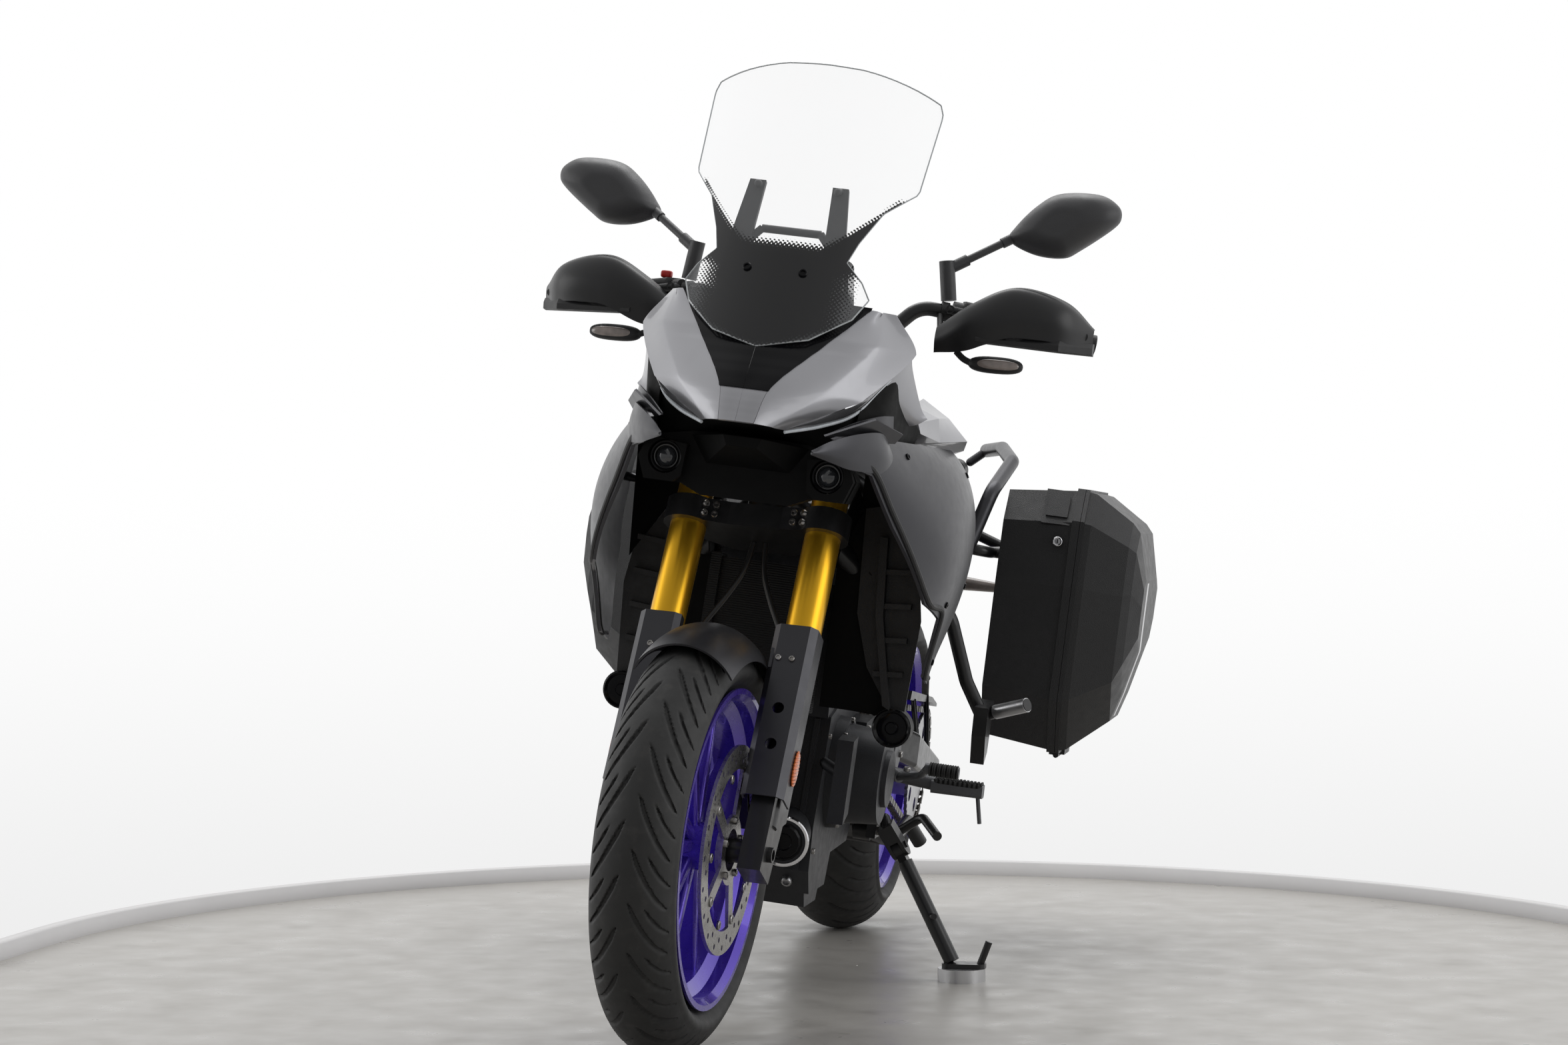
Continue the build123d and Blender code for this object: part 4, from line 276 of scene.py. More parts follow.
def printed_screen():
    """Thin clear polycarbonate with a black print at its foot that breaks up into dots toward the clear.

    The print reaches up to z = 1168 + 85 c^1.3 mm, where c runs from 0 to 1 for |x| from 55 to 145 mm, and
    down to z = 1015 + 62 e^1.7, where e runs from 0 to 1 for |x| from 0 to 130 mm; its flanks stand at
    |x| = 100 mm and spread to 250 mm where z goes from 1125 to 1225 mm. The dots are sin(x) sin(z) waves that
    keep or drop the print within 7 mm of its edge, and nearly three times as far at the flanks.
    """
    finish = Finish("printed_screen")
    across, _, up = finish.bike_place()
    width = finish.math("ABSOLUTE", across)
    rise = finish.math("POWER", finish.spread(width, 0.0, 1.0, 0.055, 0.145), 1.3)
    drop = finish.math("POWER", finish.spread(width, 0.0, 1.0, 0.0, 0.13), 1.7)
    top = finish.math("MULTIPLY_ADD", rise, 0.085, 1.168)
    foot = finish.math("MULTIPLY_ADD", drop, 0.062, 1.015)
    flank = finish.math("MULTIPLY_ADD", finish.spread(up, 0.0, 1.0, 1.125, 1.225), 0.15, 0.100)
    inside = finish.math("MINIMUM", finish.math("SUBTRACT", top, up), finish.math("SUBTRACT", up, foot))
    flank = finish.math("MULTIPLY", finish.math("SUBTRACT", flank, width), 0.35)
    inside = finish.math("MINIMUM", inside, flank)
    waves = [finish.math("SINE", finish.math("MULTIPLY", way, 2 * math.pi / DOT_PITCH))
             for way in (across, up)]
    edge = finish.math("MULTIPLY_ADD", finish.math("MULTIPLY", *waves), 0.007, inside)
    printed = finish.math("GREATER_THAN", edge, 0.0)
    finish.shader_input("Base Color", finish.mix(printed, CLEAR_PLASTIC, PRINT_BLACK))
    finish.shader_input("Alpha", finish.spread(printed, 0.07, 0.97, 0.0, 1.0))
    finish.shader_input("Roughness", finish.spread(printed, 0.03, 0.12, 0.0, 1.0))
    socket(finish.shader, "IOR", 1.5)
    finish.material.surface_render_method = "BLENDED"
    return finish.material


screen_finish = printed_screen()

WORN_BY = (
    (frame_black, "main_frame swingarm rear_shock rear_caliper case_carriers passenger_footrests"),
    (frame_black, "fork_sliders triple_clamps handlebar front_calipers"),
    (frame_black, "stand_bracket side_stand centre_stand"),
    (moulded_black, "tail_cowl plate_holder front_ducts screen_mount switchgear hand_guards"),
    (satin_grey, "fuel_tank grab_rails fairing_left fairing_right front_fender"),
    (case_black, "case_shell_left case_shell_right case_lid_left case_lid_right"),
    (silver_paint, "tank_covers nose_cowl"),
    (gloss_black, "nose_panel"),
    # painted shade: the lamp panel is made near-black for the shade round the lamps
    (shadow_black, "lamp_panel"),
    (lamp_body, "headlamps"),
    (smoked_lens, "front_indicators rear_indicators"),
    (red_lens, "tail_light"),
    (screen_finish, "windscreen"),
    (screen_black, "instrument_panel"),
    (mirror_grey, "mirrors"),
    (seat_cover, "rider_seat passenger_seat"),
    (grip_rubber, "hand_grips"),
    (tyre_rubber, "front_tyre rear_tyre"),
    (violet_paint, "front_rim rear_rim"),
    (disc_steel, "front_discs rear_disc"),
    (steel, "rear_sprocket front_sprocket"),
    (chain_steel, "drive_chain"),
    (dark_steel, "exhaust"),
    (gold_anodised, "fork_tubes"),
    (cast_dark, "engine"),
    (cast_grey, "rider_footrests"),
    (radiator_core, "radiator"),
    (aluminium, "stand_puck"),
)
for finish, worn_by in WORN_BY:
    for name in worn_by.split():
        nodes[name].data.materials.clear()
        nodes[name].data.materials.append(finish)


# ---- Shapes from whole arrays --------------------------------------------------------------------
def grid_faces(rows, columns, rows_closed=False, columns_closed=False):
    """Four-cornered faces between the neighbouring points of a grid that is stored row after row."""
    row = np.arange(rows if rows_closed else rows - 1)
    column = np.arange(columns if columns_closed else columns - 1)
    row, column = np.meshgrid(row, column, indexing="ij")
    next_row, next_column = (row + 1) % rows, (column + 1) % columns
    corners = (row * columns + column, next_row * columns + column, next_row * columns + next_column,
               row * columns + next_column)
    return np.stack(corners, -1).reshape(-1, 4)


def new_mesh(name, points, faces):
    """A mesh from arrays of points in metres and of faces."""
    mesh = bpy.data.meshes.new(name)
    mesh.from_pydata(np.asarray(points).reshape(-1, 3).tolist(), [], np.asarray(faces).tolist())
    return mesh


def new_object(name, mesh):
    """An object at the origin, in the scene."""
    made = bpy.data.objects.new(name, mesh)
    bpy.context.scene.collection.objects.link(made)
    return made


def finished(mesh, finish):
    """Gives a whole mesh smooth shading and one finish."""
    mesh.polygons.foreach_set("use_smooth", np.ones(len(mesh.polygons), bool))
    mesh.materials.clear()
    mesh.materials.append(finish)


def merged(mesh, distance, outward):
    """Merges a mesh's doubles and, where asked, turns its faces outward."""
    shape = bmesh.new()
    shape.from_mesh(mesh)
    bmesh.ops.remove_doubles(shape, verts=shape.verts, dist=distance)
    if outward:
        bmesh.ops.recalc_face_normals(shape, faces=shape.faces)
    shape.to_mesh(mesh)
    shape.free()


def piece(name, points, faces, finish, body, slot, sharp=35.0):
    """A piece from points in metres: doubles merged, faces outward, edges kept sharp past an angle."""
    mesh = new_mesh(name, points, faces)
    merged(mesh, 1e-6, outward=True)
    finished(mesh, finish)
    mesh.set_sharp_from_angle(angle=math.radians(sharp))
    made = new_object(name, mesh)
    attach(made, body)
    return made


def drawn(name, shape, finish, body, slot, place=on_bike, sharp=35.0):
    """A piece from a shape drawn upright in millimetres, set on the machine or on its fork."""
    points, faces = shape
    return piece(name, place(points), faces, finish, body, slot, sharp)


def on_side(shape, side):
    """A shape drawn on the left, as it is for side 1 and as its mirror image for side -1."""
    points, faces = shape
    return points * [side, 1, 1], faces[:, ::side]


def lathe(profile, sides):
    """A closed profile of (radius, height) rows turned about z: x = r cos a, y = r sin a, z = height."""
    radius, height = np.asarray(profile, float).T
    angle = turns(sides)[:, None]
    points = np.stack([radius * np.cos(angle), radius * np.sin(angle), height + 0 * angle], -1)
    return points.reshape(-1, 3), grid_faces(sides, len(profile), rows_closed=True)


def frames_along(directions, helper=None):
    """Right-handed axes, as rows, whose third row is each direction and whose first is square to a helper."""
    third = unit(directions)
    if helper is None:
        helper = np.where(np.abs(third[..., :1]) < 0.9, [1.0, 0.0, 0.0], [0.0, 1.0, 0.0])
    first = unit(np.cross(helper, third))
    return np.stack([first, np.cross(third, first), third], -2)


def copies(template, centres, frames):
    """A small shape set down at many centres, each turned by its own axes: p = centre + x a + y b + z c."""
    points, faces = template
    centres, frames = np.asarray(centres, float), np.asarray(frames, float)
    placed = centres[:, None, :] + np.einsum("vk,nkj->nvj", points, frames)
    steps = np.arange(len(centres))[:, None, None] * len(points)
    return placed.reshape(-1, 3), (faces[None] + steps).reshape(-1, faces.shape[1])


def smooth_path(points, count):
    """A path through points by cubic blends, with each tangent half the step between its neighbours."""
    points = np.asarray(points, float)
    slopes = np.gradient(points, axis=0)
    place = np.linspace(0, len(points) - 1, count)
    low = np.minimum(place.astype(int), len(points) - 2)
    t = (place - low)[:, None]
    return ((2 * t**3 - 3 * t**2 + 1) * points[low] + (t**3 - 2 * t**2 + t) * slopes[low]
            + (3 * t**2 - 2 * t**3) * points[low + 1] + (t**3 - t**2) * slopes[low + 1])


def tube_on(path, radius, sides=10, closed=False):
    """A round bar along a path: each ring is path + r (cos a first + sin a second) across its direction."""
    path = np.asarray(path, float)
    if closed:
        along = np.roll(path, -1, 0) - np.roll(path, 1, 0)
    else:
        along = np.gradient(path, axis=0)
    axes = frames_along(along, np.eye(3)[np.argmin(np.abs(unit(along)).mean(0))])
    angle = turns(sides)[None, :, None]
    ring = radius * (np.cos(angle) * axes[:, None, 0] + np.sin(angle) * axes[:, None, 1])
    points = path[:, None] + ring
    if not closed:
        points = np.concatenate([path[:1, None] + 0 * ring[:1], points, path[-1:, None] + 0 * ring[:1]])
    return points.reshape(-1, 3), grid_faces(len(points), sides, rows_closed=closed, columns_closed=True)


def joined(*shapes):
    """Several (points, faces) as one."""
    points = np.concatenate([shape[0] for shape in shapes])
    starts = np.cumsum([0] + [len(shape[0]) for shape in shapes[:-1]])
    return points, np.concatenate([shape[1] + start for shape, start in zip(shapes, starts)])


def pebble(centre, axes, sizes, squareness=0.5, steps=16):
    """A rounded block: x = a C(v) C(u), y = b C(v) S(u), z = c S(v), with powered cosines C and sines S."""
    def powered(value):
        """A value's size to a power, with its own sign."""
        return np.sign(value) * np.abs(value) ** squareness

    u = turns(2 * steps)[:, None]
    v = np.linspace(-math.pi / 2, math.pi / 2, steps)[None, :]
    around, height = powered(np.cos(v)), powered(np.sin(v)) + 0 * u
    local = np.stack([around * powered(np.cos(u)), around * powered(np.sin(u)), height], -1).reshape(-1, 3)
    points = np.asarray(centre, float) + local * sizes @ np.asarray(axes, float)
    return points, grid_faces(2 * steps, steps, rows_closed=True)


def block(size_x, size_y, size_z):
    """A small plain bar for shapes that repeat: the eight corners and six faces."""
    corners = np.array([(x, y, z) for x in (-0.5, 0.5) for y in (-0.5, 0.5) for z in (-0.5, 0.5)])
    faces = np.array([(0, 1, 3, 2), (4, 6, 7, 5), (0, 4, 5, 1), (2, 3, 7, 6), (0, 2, 6, 4), (1, 5, 7, 3)])
    return corners * (size_x, size_y, size_z), faces


def screw(radius, height):
    """A round head with a socket sunk in it, its foot 1 mm below z = 0."""
    return lathe((
        (0.0, 0.45 * height), (0.48 * radius, 0.45 * height), (0.55 * radius, height),
        (0.84 * radius, height), (radius, 0.75 * height), (radius, -1.0), (0.0, -1.0),
    ), 12)


def seated(node, start, toward):
    """Where a straight look from one upright point toward another first meets a node: (place, normal)."""
    start, toward = Vector(start), Vector(toward)
    hit, place, normal, _ = nodes[node].ray_cast(start, (toward - start).normalized())
    if not hit:
        raise RuntimeError(f"nothing of {node} lies that way")
    return np.array(place), np.array(normal)


def screws(name, node, body, spots, radius, height, finish, place=on_bike):
    """Screw heads seated on a node, each where the look from its first point to its second meets it."""
    centres, normals = zip(*[seated(node, place(start), place(end)) for start, end in spots])
    points, faces = screw(radius, height)
    piece(name, *copies((points * MM, faces), centres, frames_along(normals)), finish, body, node)


def both(points):
    """A list of points and its mirror image across the machine."""
    points = np.asarray(points, float)
    return np.concatenate([points, points * np.array([-1.0, 1.0, 1.0])])


# ---- Tyres ---------------------------------------------------------------------------------------
BEAD_RADIUS = 218.3
GROOVE_DEPTH, GROOVE_SWEEP = 4.0, 105.0
# each kind of groove: its shift in pitches, where it starts and ends across the crown, and its half width
GROOVES = ((0.0, 0.07, 0.90, 3.6), (0.5, 0.38, 0.97, 2.8))


def tyre(node, body, place, axle, radius, width, crown, rim_width, pitches):
    """A tyre whose tread is cut into its crown.

    Section: the crown is x = c sin p, r = R - c + c cos p; each sidewall a parabola through shoulder,
    widest point and bead, with a low rim band; the inside follows about 11 mm within. Tread: with s from
    -1 to 1 across the crown, grooves lie where (arc + g(|s|)) / pitch is a whole number, with
    g = 105 (1 - (1 - |s|)^1.7) mm, so they leave the middle nearly along the tyre and end square to it.
    Every second one starts further out. Depth is 4 mm where the distance to a groove's middle is under its
    half width, which tapers to nothing at its ends.
    """
    half, bead = width / 2 - 2, rim_width / 2 - 8
    reach = math.asin(half / crown)
    p = np.linspace(-reach, reach, 86)
    crown_x, crown_r = crown * np.sin(p), radius - crown + crown * np.cos(p)
    wide = (crown_r[-1] + BEAD_RADIUS) / 2 + 6
    t = np.linspace(0, 1, 9)[1:]
    weights = np.stack([2 * (t - 0.5) * (t - 1), 4 * t * (1 - t), 2 * t * (t - 0.5)])
    side_x = np.array([half, width / 2, bead + 4]) @ weights
    side_r = np.array([crown_r[-1], wide, BEAD_RADIUS + 12]) @ weights
    side_r = side_r + 1.2 * np.exp(-(((t - 0.72) / 0.08) ** 2))
    back_x = np.array([bead, bead - 12, width / 2 - 11, 0.6 * half])
    back_r = np.array([BEAD_RADIUS, BEAD_RADIUS, wide, crown_r[-1] + 2])
    x = np.concatenate([-side_x[::-1], crown_x, side_x, back_x, [0.0], -back_x[::-1]])
    r = np.concatenate([side_r[::-1], crown_r, side_r, back_r, [radius - 12], back_r[::-1]])
    around = 880
    angle = turns(around)[:, None]
    s = np.abs(p / reach)[None, :]
    pitch = 2 * math.pi * radius / pitches
    curve = GROOVE_SWEEP * (1 - (1 - s) ** 1.7)
    slope = GROOVE_SWEEP * 1.7 * (1 - s) ** 0.7 / (reach * crown)
    arc = angle * radius + curve + 0.5 * pitch * (p[None, :] < 0)
    depth = np.zeros((around, len(p)))
    for shift, start, end, half_width in GROOVES:
        pitches_on = arc / pitch + shift
        away = np.abs(pitches_on - np.round(pitches_on)) * pitch / np.sqrt(1 + slope**2)
        taper = np.clip((s - start) / 0.10, 0, 1) * np.clip((end - s) / 0.14, 0, 1)
        depth = np.maximum(depth, GROOVE_DEPTH * np.clip((half_width * taper - away) / 1.1, 0, 1))
    full = np.zeros((around, len(x)))
    full[:, len(side_x):len(side_x) + len(p)] = depth
    cut = r[None, :] - full
    points = np.stack([x[None, :] + 0 * angle, cut * np.sin(angle), cut * np.cos(angle)], -1)
    faces = grid_faces(around, len(x), rows_closed=True, columns_closed=True)
    made = piece("tread_" + node, place(points.reshape(-1, 3) + axle), faces, tyre_rubber, body, node, 50.0)
    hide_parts(node)


FRONT_AXLE = np.array([0.0, 0.0, FRONT_TYRE_RADIUS])
REAR_AXLE = np.array([0.0, WHEELBASE, REAR_TYRE_RADIUS])
tyre("front_tyre", "front_wheel", on_fork, FRONT_AXLE, FRONT_TYRE_RADIUS, 120.0, 62.0, 100.0, 26)
tyre("rear_tyre", "rear_wheel", on_bike, REAR_AXLE, REAR_TYRE_RADIUS, 180.0, 93.0, 150.0, 26)


# ---- Seats ---------------------------------------------------------------------------------------
def upright(points):
    """Points in metres on the leaning machine, given back upright in millimetres."""
    return (points - BIKE_ORIGIN) @ BIKE_AXES.T / MM


def vertex_array(mesh):
    """A mesh's vertices as an array."""
    points = np.zeros(len(mesh.vertices) * 3)
    mesh.vertices.foreach_get("co", points)
    return points.reshape(-1, 3)


def applied(made):
    """Replaces an object's mesh by what its modifiers make of it."""
    depsgraph = bpy.context.evaluated_depsgraph_get()
    mesh = bpy.data.meshes.new_from_object(made.evaluated_get(depsgraph))
    made.modifiers.clear()
    made.data = mesh


SEAM_DEPTH, SEAM_SPREAD = 3.0, 3.5
CLOTH_STEPS, CLOTH_REACH = 15, 0.006


def stuffed(node, seams):
    """A padded seat: a copy of its solid, remeshed and inflated as cloth, then its seams pressed in.

    The cloth moves no point further than 6 mm. Each seam is (start, end) in upright (across, rearward) and
    sinks the top by 3 exp(-(d / 3.5)^2) mm at a distance d from the seam's line.
    """
    made = new_object("padded_" + node, nodes[node].data.copy())
    merged(made.data, 1e-5, outward=False)
    remesh = made.modifiers.new("remesh", "REMESH")
    remesh.mode = "VOXEL"
    remesh.voxel_size = 0.006
    soften = made.modifiers.new("soften", "SMOOTH")
    soften.iterations = 12
    soften.factor = 0.6
    applied(made)
    rest = vertex_array(made.data)
    cloth = made.modifiers.new("cloth", "CLOTH")
    cloth.settings.use_pressure = True
    cloth.settings.uniform_pressure_force = 4.0
    cloth.settings.effector_weights.gravity = 0.0
    cloth.settings.quality = 4
    for step in range(1, CLOTH_STEPS + 1):
        bpy.context.scene.frame_set(step)
    applied(made)
    bpy.context.scene.frame_set(1)
    moved = vertex_array(made.data) - rest
    length = np.linalg.norm(moved, axis=1, keepdims=True)
    kept = moved * np.minimum(1, CLOTH_REACH / np.maximum(length, 1e-9))
    made.data.vertices.foreach_set("co", (rest + kept).ravel())
    divide = made.modifiers.new("divide", "SUBSURF")
    divide.levels = divide.render_levels = 1
    applied(made)
    points = vertex_array(made.data)
    flat = upright(points)
    on_top = flat[:, 2] > flat[:, 2].mean()
    for start, end in np.asarray(seams, float):
        along = end - start
        t = np.clip(((flat[:, :2] - start) @ along) / (along @ along), 0, 1)
        away = np.linalg.norm(flat[:, :2] - (start + t[:, None] * along), axis=1)
        press = SEAM_DEPTH * np.exp(-((away / SEAM_SPREAD) ** 2)) * on_top
        points -= press[:, None] * MM * BIKE_AXES[2]
    made.data.vertices.foreach_set("co", points.ravel())
    finished(made.data, seat_cover)
    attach(made, "chassis")
    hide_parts(node)


def seam_lines(down, across):
    """Straight seams from point to point down both sides, then one across at each (half width, rearward)."""
    runs = [((side * x0, y0), (side * x1, y1))
            for side, _ in SIDES for (x0, y0), (x1, y1) in zip(down, down[1:])]
    return runs + [((-x, y), (x, y)) for x, y in across]


stuffed("rider_seat", seam_lines(((58, 800), (118, 1030), (116, 1112)), ((118, 1030), (84, 900))))
stuffed("passenger_seat", seam_lines(((104, 1140), (106, 1300), (70, 1480)), ((106, 1300), (104, 1140))))


# ---- Screen, lamps and mirrors -------------------------------------------------------------------
SCREEN_SLOPE = math.atan2(327 - 125, 1438 - 1100)
SCREEN_CURVE = 237.5
SCREEN_LENGTH = 520.0
SCREEN_FOOT_Y, SCREEN_FOOT_Z = 10.0, 1008.0
BEAD_SINK = 1.8
SCREEN_HALF = np.array((
    (0, 1012), (70, 1030), (120, 1068), (136, 1100), (122, 1124), (96, 1150), (106, 1182), (129, 1232),
    (168, 1271), (176, 1400), (160, 1446), (0, 1452),
), float)
SCREEN_EDGE = np.concatenate([SCREEN_HALF, (SCREEN_HALF * [-1, 1])[-2::-1]])


def screen_dip(x):
    """How far the screen's face, a cylinder of radius R, falls back across it: R - sqrt(R^2 - x^2)."""
    return SCREEN_CURVE - np.sqrt(SCREEN_CURVE**2 - x**2)


def on_screen(x, z, sink):
    """Points sunk into the tilted screen at (x, z): its foot + h up its slope + (dip + sink) square to it."""
    back = screen_dip(x) + sink
    height = (z - SCREEN_FOOT_Z + back * math.sin(SCREEN_SLOPE)) / math.cos(SCREEN_SLOPE)
    y = SCREEN_FOOT_Y + back * math.cos(SCREEN_SLOPE) + height * math.sin(SCREEN_SLOPE)
    return np.stack([x, y, z], -1)


def screen_edge():
    """The polished edge of the screen: a thin bead along its outline, kept 1 mm under its top edge."""
    place = np.linspace(0, len(SCREEN_EDGE) - 1, 220)[:-1]
    x, z = (np.interp(place, np.arange(len(SCREEN_EDGE)), line) for line in SCREEN_EDGE.T)
    top = SCREEN_FOOT_Z + SCREEN_LENGTH * math.cos(SCREEN_SLOPE) - screen_dip(x) * math.sin(SCREEN_SLOPE)
    path = on_bike(on_screen(x, np.minimum(z, top - 1), BEAD_SINK))
    piece("screen_edge", *tube_on(path, 1.1 * MM, 6, closed=True), edge_glass, "chassis", "windscreen")


screen_edge()

FORWARD = np.array([0.0, -1.0, 0.0])


def facing(direction, place=on_bike):
    """Axes in metres for shapes drawn about z, so that their z looks in an upright direction."""
    origin = place([0.0, 0.0, 0.0])
    return frames_along(place(np.asarray(direction, float)) - origin)


def set_on(name, template, centres, direction, finish, body, slot, place=on_bike):
    """Copies of a shape drawn in millimetres about z, set on upright points to look in one direction."""
    points, faces = template
    frames = np.broadcast_to(facing(direction, place), (len(centres), 3, 3))
    piece(name, *copies((points * MM, faces), place(centres), frames), finish, body, slot)


LAMP_SPOTS = both([(119.0, 64.5, 841.0)])
LAMP_TURNINGS = (
    ("lamp_lenses", lens_glass, ((0, 9), (5, 8.4), (10, 6.0), (14, 1.5), (15, -2), (0, -2))),
    ("lamp_rings", lamp_body, ((15.5, -1), (16, 2.5), (17.5, 3), (19.5, 0.5), (19.5, -1))),
    ("lamp_bezels", gloss_black, ((20.0, -1), (20.5, 3), (22.5, 4), (23.6, 2), (23.6, -1))),
    ("lamp_barrels", lamp_body,
     ((0, -2.5), (18, -2.5), (19.5, 0), (23.8, -1.5), (23.8, -26), (20, -32), (0, -32))),
)
for name, finish, profile in LAMP_TURNINGS:
    set_on(name, lathe(profile, 40), LAMP_SPOTS, FORWARD, finish, "chassis", "headlamps")

MIRROR_MIDDLE = np.array([364.0, 1258.0])
MIRROR_OUTLINE = np.array((
    (284, 1228), (292, 1250), (322, 1284), (356, 1305), (414, 1308), (444, 1294), (451, 1276), (440, 1258),
    (394, 1222), (368, 1208), (324, 1210),
), float)
GLASS_Y, GLASS_SHARE = 504.5, 0.86


def mirror_glass_shape():
    """A shallow dome in the housing's outline: ring q is share q of it, back by 2 (1 - (q / 0.86)^2) mm."""
    q = np.array([0.0, 0.25, 0.5, 0.7, 0.82, GLASS_SHARE, GLASS_SHARE])[:, None, None]
    ring = MIRROR_MIDDLE + (MIRROR_OUTLINE - MIRROR_MIDDLE) * q
    depth = GLASS_Y + 2 * (1 - (q[..., 0] / GLASS_SHARE) ** 2) + 0 * ring[..., 0]
    depth[-1] -= 2.0
    points = np.stack([ring[..., 0], depth, ring[..., 1]], -1).reshape(-1, 3)
    return points, grid_faces(len(q), len(MIRROR_OUTLINE), columns_closed=True)


for side, label in SIDES:
    glass = on_side(mirror_glass_shape(), side)
    drawn("mirror_glass_" + label, glass, mirror_glass, "fork", "mirrors", on_fork)

# ---- Fork, brakes and controls -------------------------------------------------------------------
STEER_BACK = np.array([0.0, math.cos(RAKE), -math.sin(RAKE)])
STEER_UP = np.array([0.0, math.sin(RAKE), math.cos(RAKE)])
DISC_FACE_X = 65.4
CALIPER_REACH = 142.0
clamp_looks = [(up_fork(side * across, -90, height), up_fork(side * across, 60, height))
               for side in (-1, 1) for across in (60, 76) for height in (503, 518)]
screws("clamp_screws", "triple_clamps", "fork", clamp_looks, 5.5, 5.0, bolt_steel, on_fork)
caliper_looks = []
for side in (-1, 1):
    for angle in (math.radians(42.0), math.radians(61.0)):
        back, height = CALIPER_REACH * math.cos(angle), CALIPER_REACH * math.sin(angle)
        caliper_looks.append((up_fork(side * 170, back, height), up_fork(side * 40, back, height)))
screws("caliper_screws", "front_calipers", "fork", caliper_looks, 7.0, 6.0, bolt_steel, on_fork)


def on_disc(side, radius, angle):
    """Points on a front disc's face: (x, r sin a, R + r cos a) at each angle, with R the axle's height."""
    x = side * DISC_FACE_X + 0 * angle
    return np.stack([x, radius * np.sin(angle), FRONT_TYRE_RADIUS + radius * np.cos(angle)], -1)


DISC_BUTTON = lathe(((0, 1.6), (3.4, 1.6), (3.6, 2.6), (6.2, 2.6), (7.0, 1.8), (7.0, -1), (0, -1)), 14)
for name, shape, radius, angles in (
    ("disc_buttons_", DISC_BUTTON, 108.0, turns(10) + 0.3),
    ("hub_screws_", screw(5.5, 5.0), 42.0, turns(5)),
):
    for side, label in SIDES:
        set_on(name + label, shape, on_disc(side, radius, angles), (side, 0, 0), bolt_steel,
               "front_wheel", "front_discs", on_fork)
fork_cap = lathe(((0, 9), (7, 9), (8, 6), (15, 6), (16, 3), (24, 2), (25, -1), (0, -1)), 24)
cap_spots = [up_fork(side * LEG_X, 0, 750.0) for side in (-1, 1)]
set_on("fork_caps", fork_cap, cap_spots, STEER_UP, steel, "fork", "fork_tubes", on_fork)
for side, label in SIDES:
    middle = up_fork(side * (LEG_X + 33.0), -10.0, 128.0)
    reflector = pebble(middle, [STEER_UP, STEER_BACK, [1.0, 0.0, 0.0]], (27.0, 12.0, 3.4), 0.8)
    drawn("reflector_" + label, reflector, amber_lens, "fork", "front_fender", on_fork)


# ---- Screws of the engine, frame and fairings ----------------------------------------------------
def spaced_round(y, z, radius, count, start):
    """(rearward, up) points round a circle in the side view, from a start angle on."""
    angles = start + turns(count)
    return list(zip(y + radius * np.cos(angles), z + radius * np.sin(angles)))


def inward(x_from, x_to, spots, sides=(-1, 1)):
    """Looks straight in along x at (rearward, up) spots, from each of the given sides."""
    return [((side * x_from, y, z), (side * x_to, y, z)) for side in sides for y, z in spots]


ENGINE_LOOKS = (
    inward(240, 90, spaced_round(570, 378, 85.0, 9, 0.2), (1,))
    + inward(240, 90, spaced_round(650, 360, 101.0, 10, 0.1), (-1,))
    + inward(240, 60, ((450, 262), (470, 440), (500, 620), (560, 650), (470, 690), (590, 700)))
    + inward(240, 90, ((668, 446), (722, 440), (694, 352)), (1,))
)
FRAME_LOOKS = inward(240, 90, ((870, 540), (890, 330), (868, 262), (905, 430)))
FOOTREST_LOOKS = inward(240, 120, ((868, 462), (890, 392), (838, 372)))
SCREEN_LOOKS = [((side * 41, -60, 1126), (side * 41, 200, 1126)) for side in (-1, 1)]
for name, node, looks, radius, height, finish in (
    ("engine_screws", "engine", ENGINE_LOOKS, 4.6, 4.5, bolt_steel),
    ("frame_screws", "main_frame", FRAME_LOOKS, 8.5, 7.0, bolt_steel),
    ("footrest_screws", "rider_footrests", FOOTREST_LOOKS, 6.0, 5.0, bolt_steel),
    ("screen_screws", "windscreen", SCREEN_LOOKS, 6.5, 3.5, gloss_black),
):
    screws(name, node, "chassis", looks, radius, height, finish)
for side, label in SIDES:
    looks = inward(400, 100, ((480, 700), (410, 580), (345, 672), (480, 870), (200, 885)), (side,))
    screws("fasteners_fairing_" + label, "fairing_" + label, "chassis", looks, 5.0, 2.5, gloss_black)
fender_looks = [(up_fork(side * across, -120, 281), up_fork(side * across, 0, 281))
                for side in (-1, 1) for across in (86, 106)]
screws("fender_screws", "front_fender", "fork", fender_looks, 4.5, 3.5, bolt_steel, on_fork)


# ---- The nose: smooth shells, dark sheets of painted shade and the trim of the fairing -----------
def grid_normals(grid):
    """A grid's unit normals: the cross product of its steps along a row and its steps from row to row."""
    return unit(np.cross(np.gradient(grid, axis=1), np.gradient(grid, axis=0)))


def sheet_of(front, thickness):
    """A closed sheet from a grid of points: its back is the front moved by the thickness along the normal."""
    back = front + thickness * grid_normals(front)
    loop = np.concatenate([front, back[::-1]])
    rows, columns = loop.shape[:2]
    ends = []
    for column in (0, columns - 1):
        ring = np.arange(rows // 2) * columns + column
        other = (rows - 1 - np.arange(rows // 2)) * columns + column
        ends.append(np.stack([ring[:-1], ring[1:], other[1:], other[:-1]], -1))
    return loop.reshape(-1, 3), np.concatenate([grid_faces(rows, columns, rows_closed=True), *ends])


def ruled(upper, lower, thickness, bulge=0.0):
    """A sheet between two smooth edges: p = (1 - t) upper + t lower + bulge sin(pi t) along its normal."""
    upper, lower = smooth_path(upper, 24), smooth_path(lower, 24)
    t = np.linspace(0, 1, 10)[:, None, None]
    front = (1 - t) * upper + t * lower
    return sheet_of(front - bulge * np.sin(math.pi * t) * grid_normals(front), thickness)


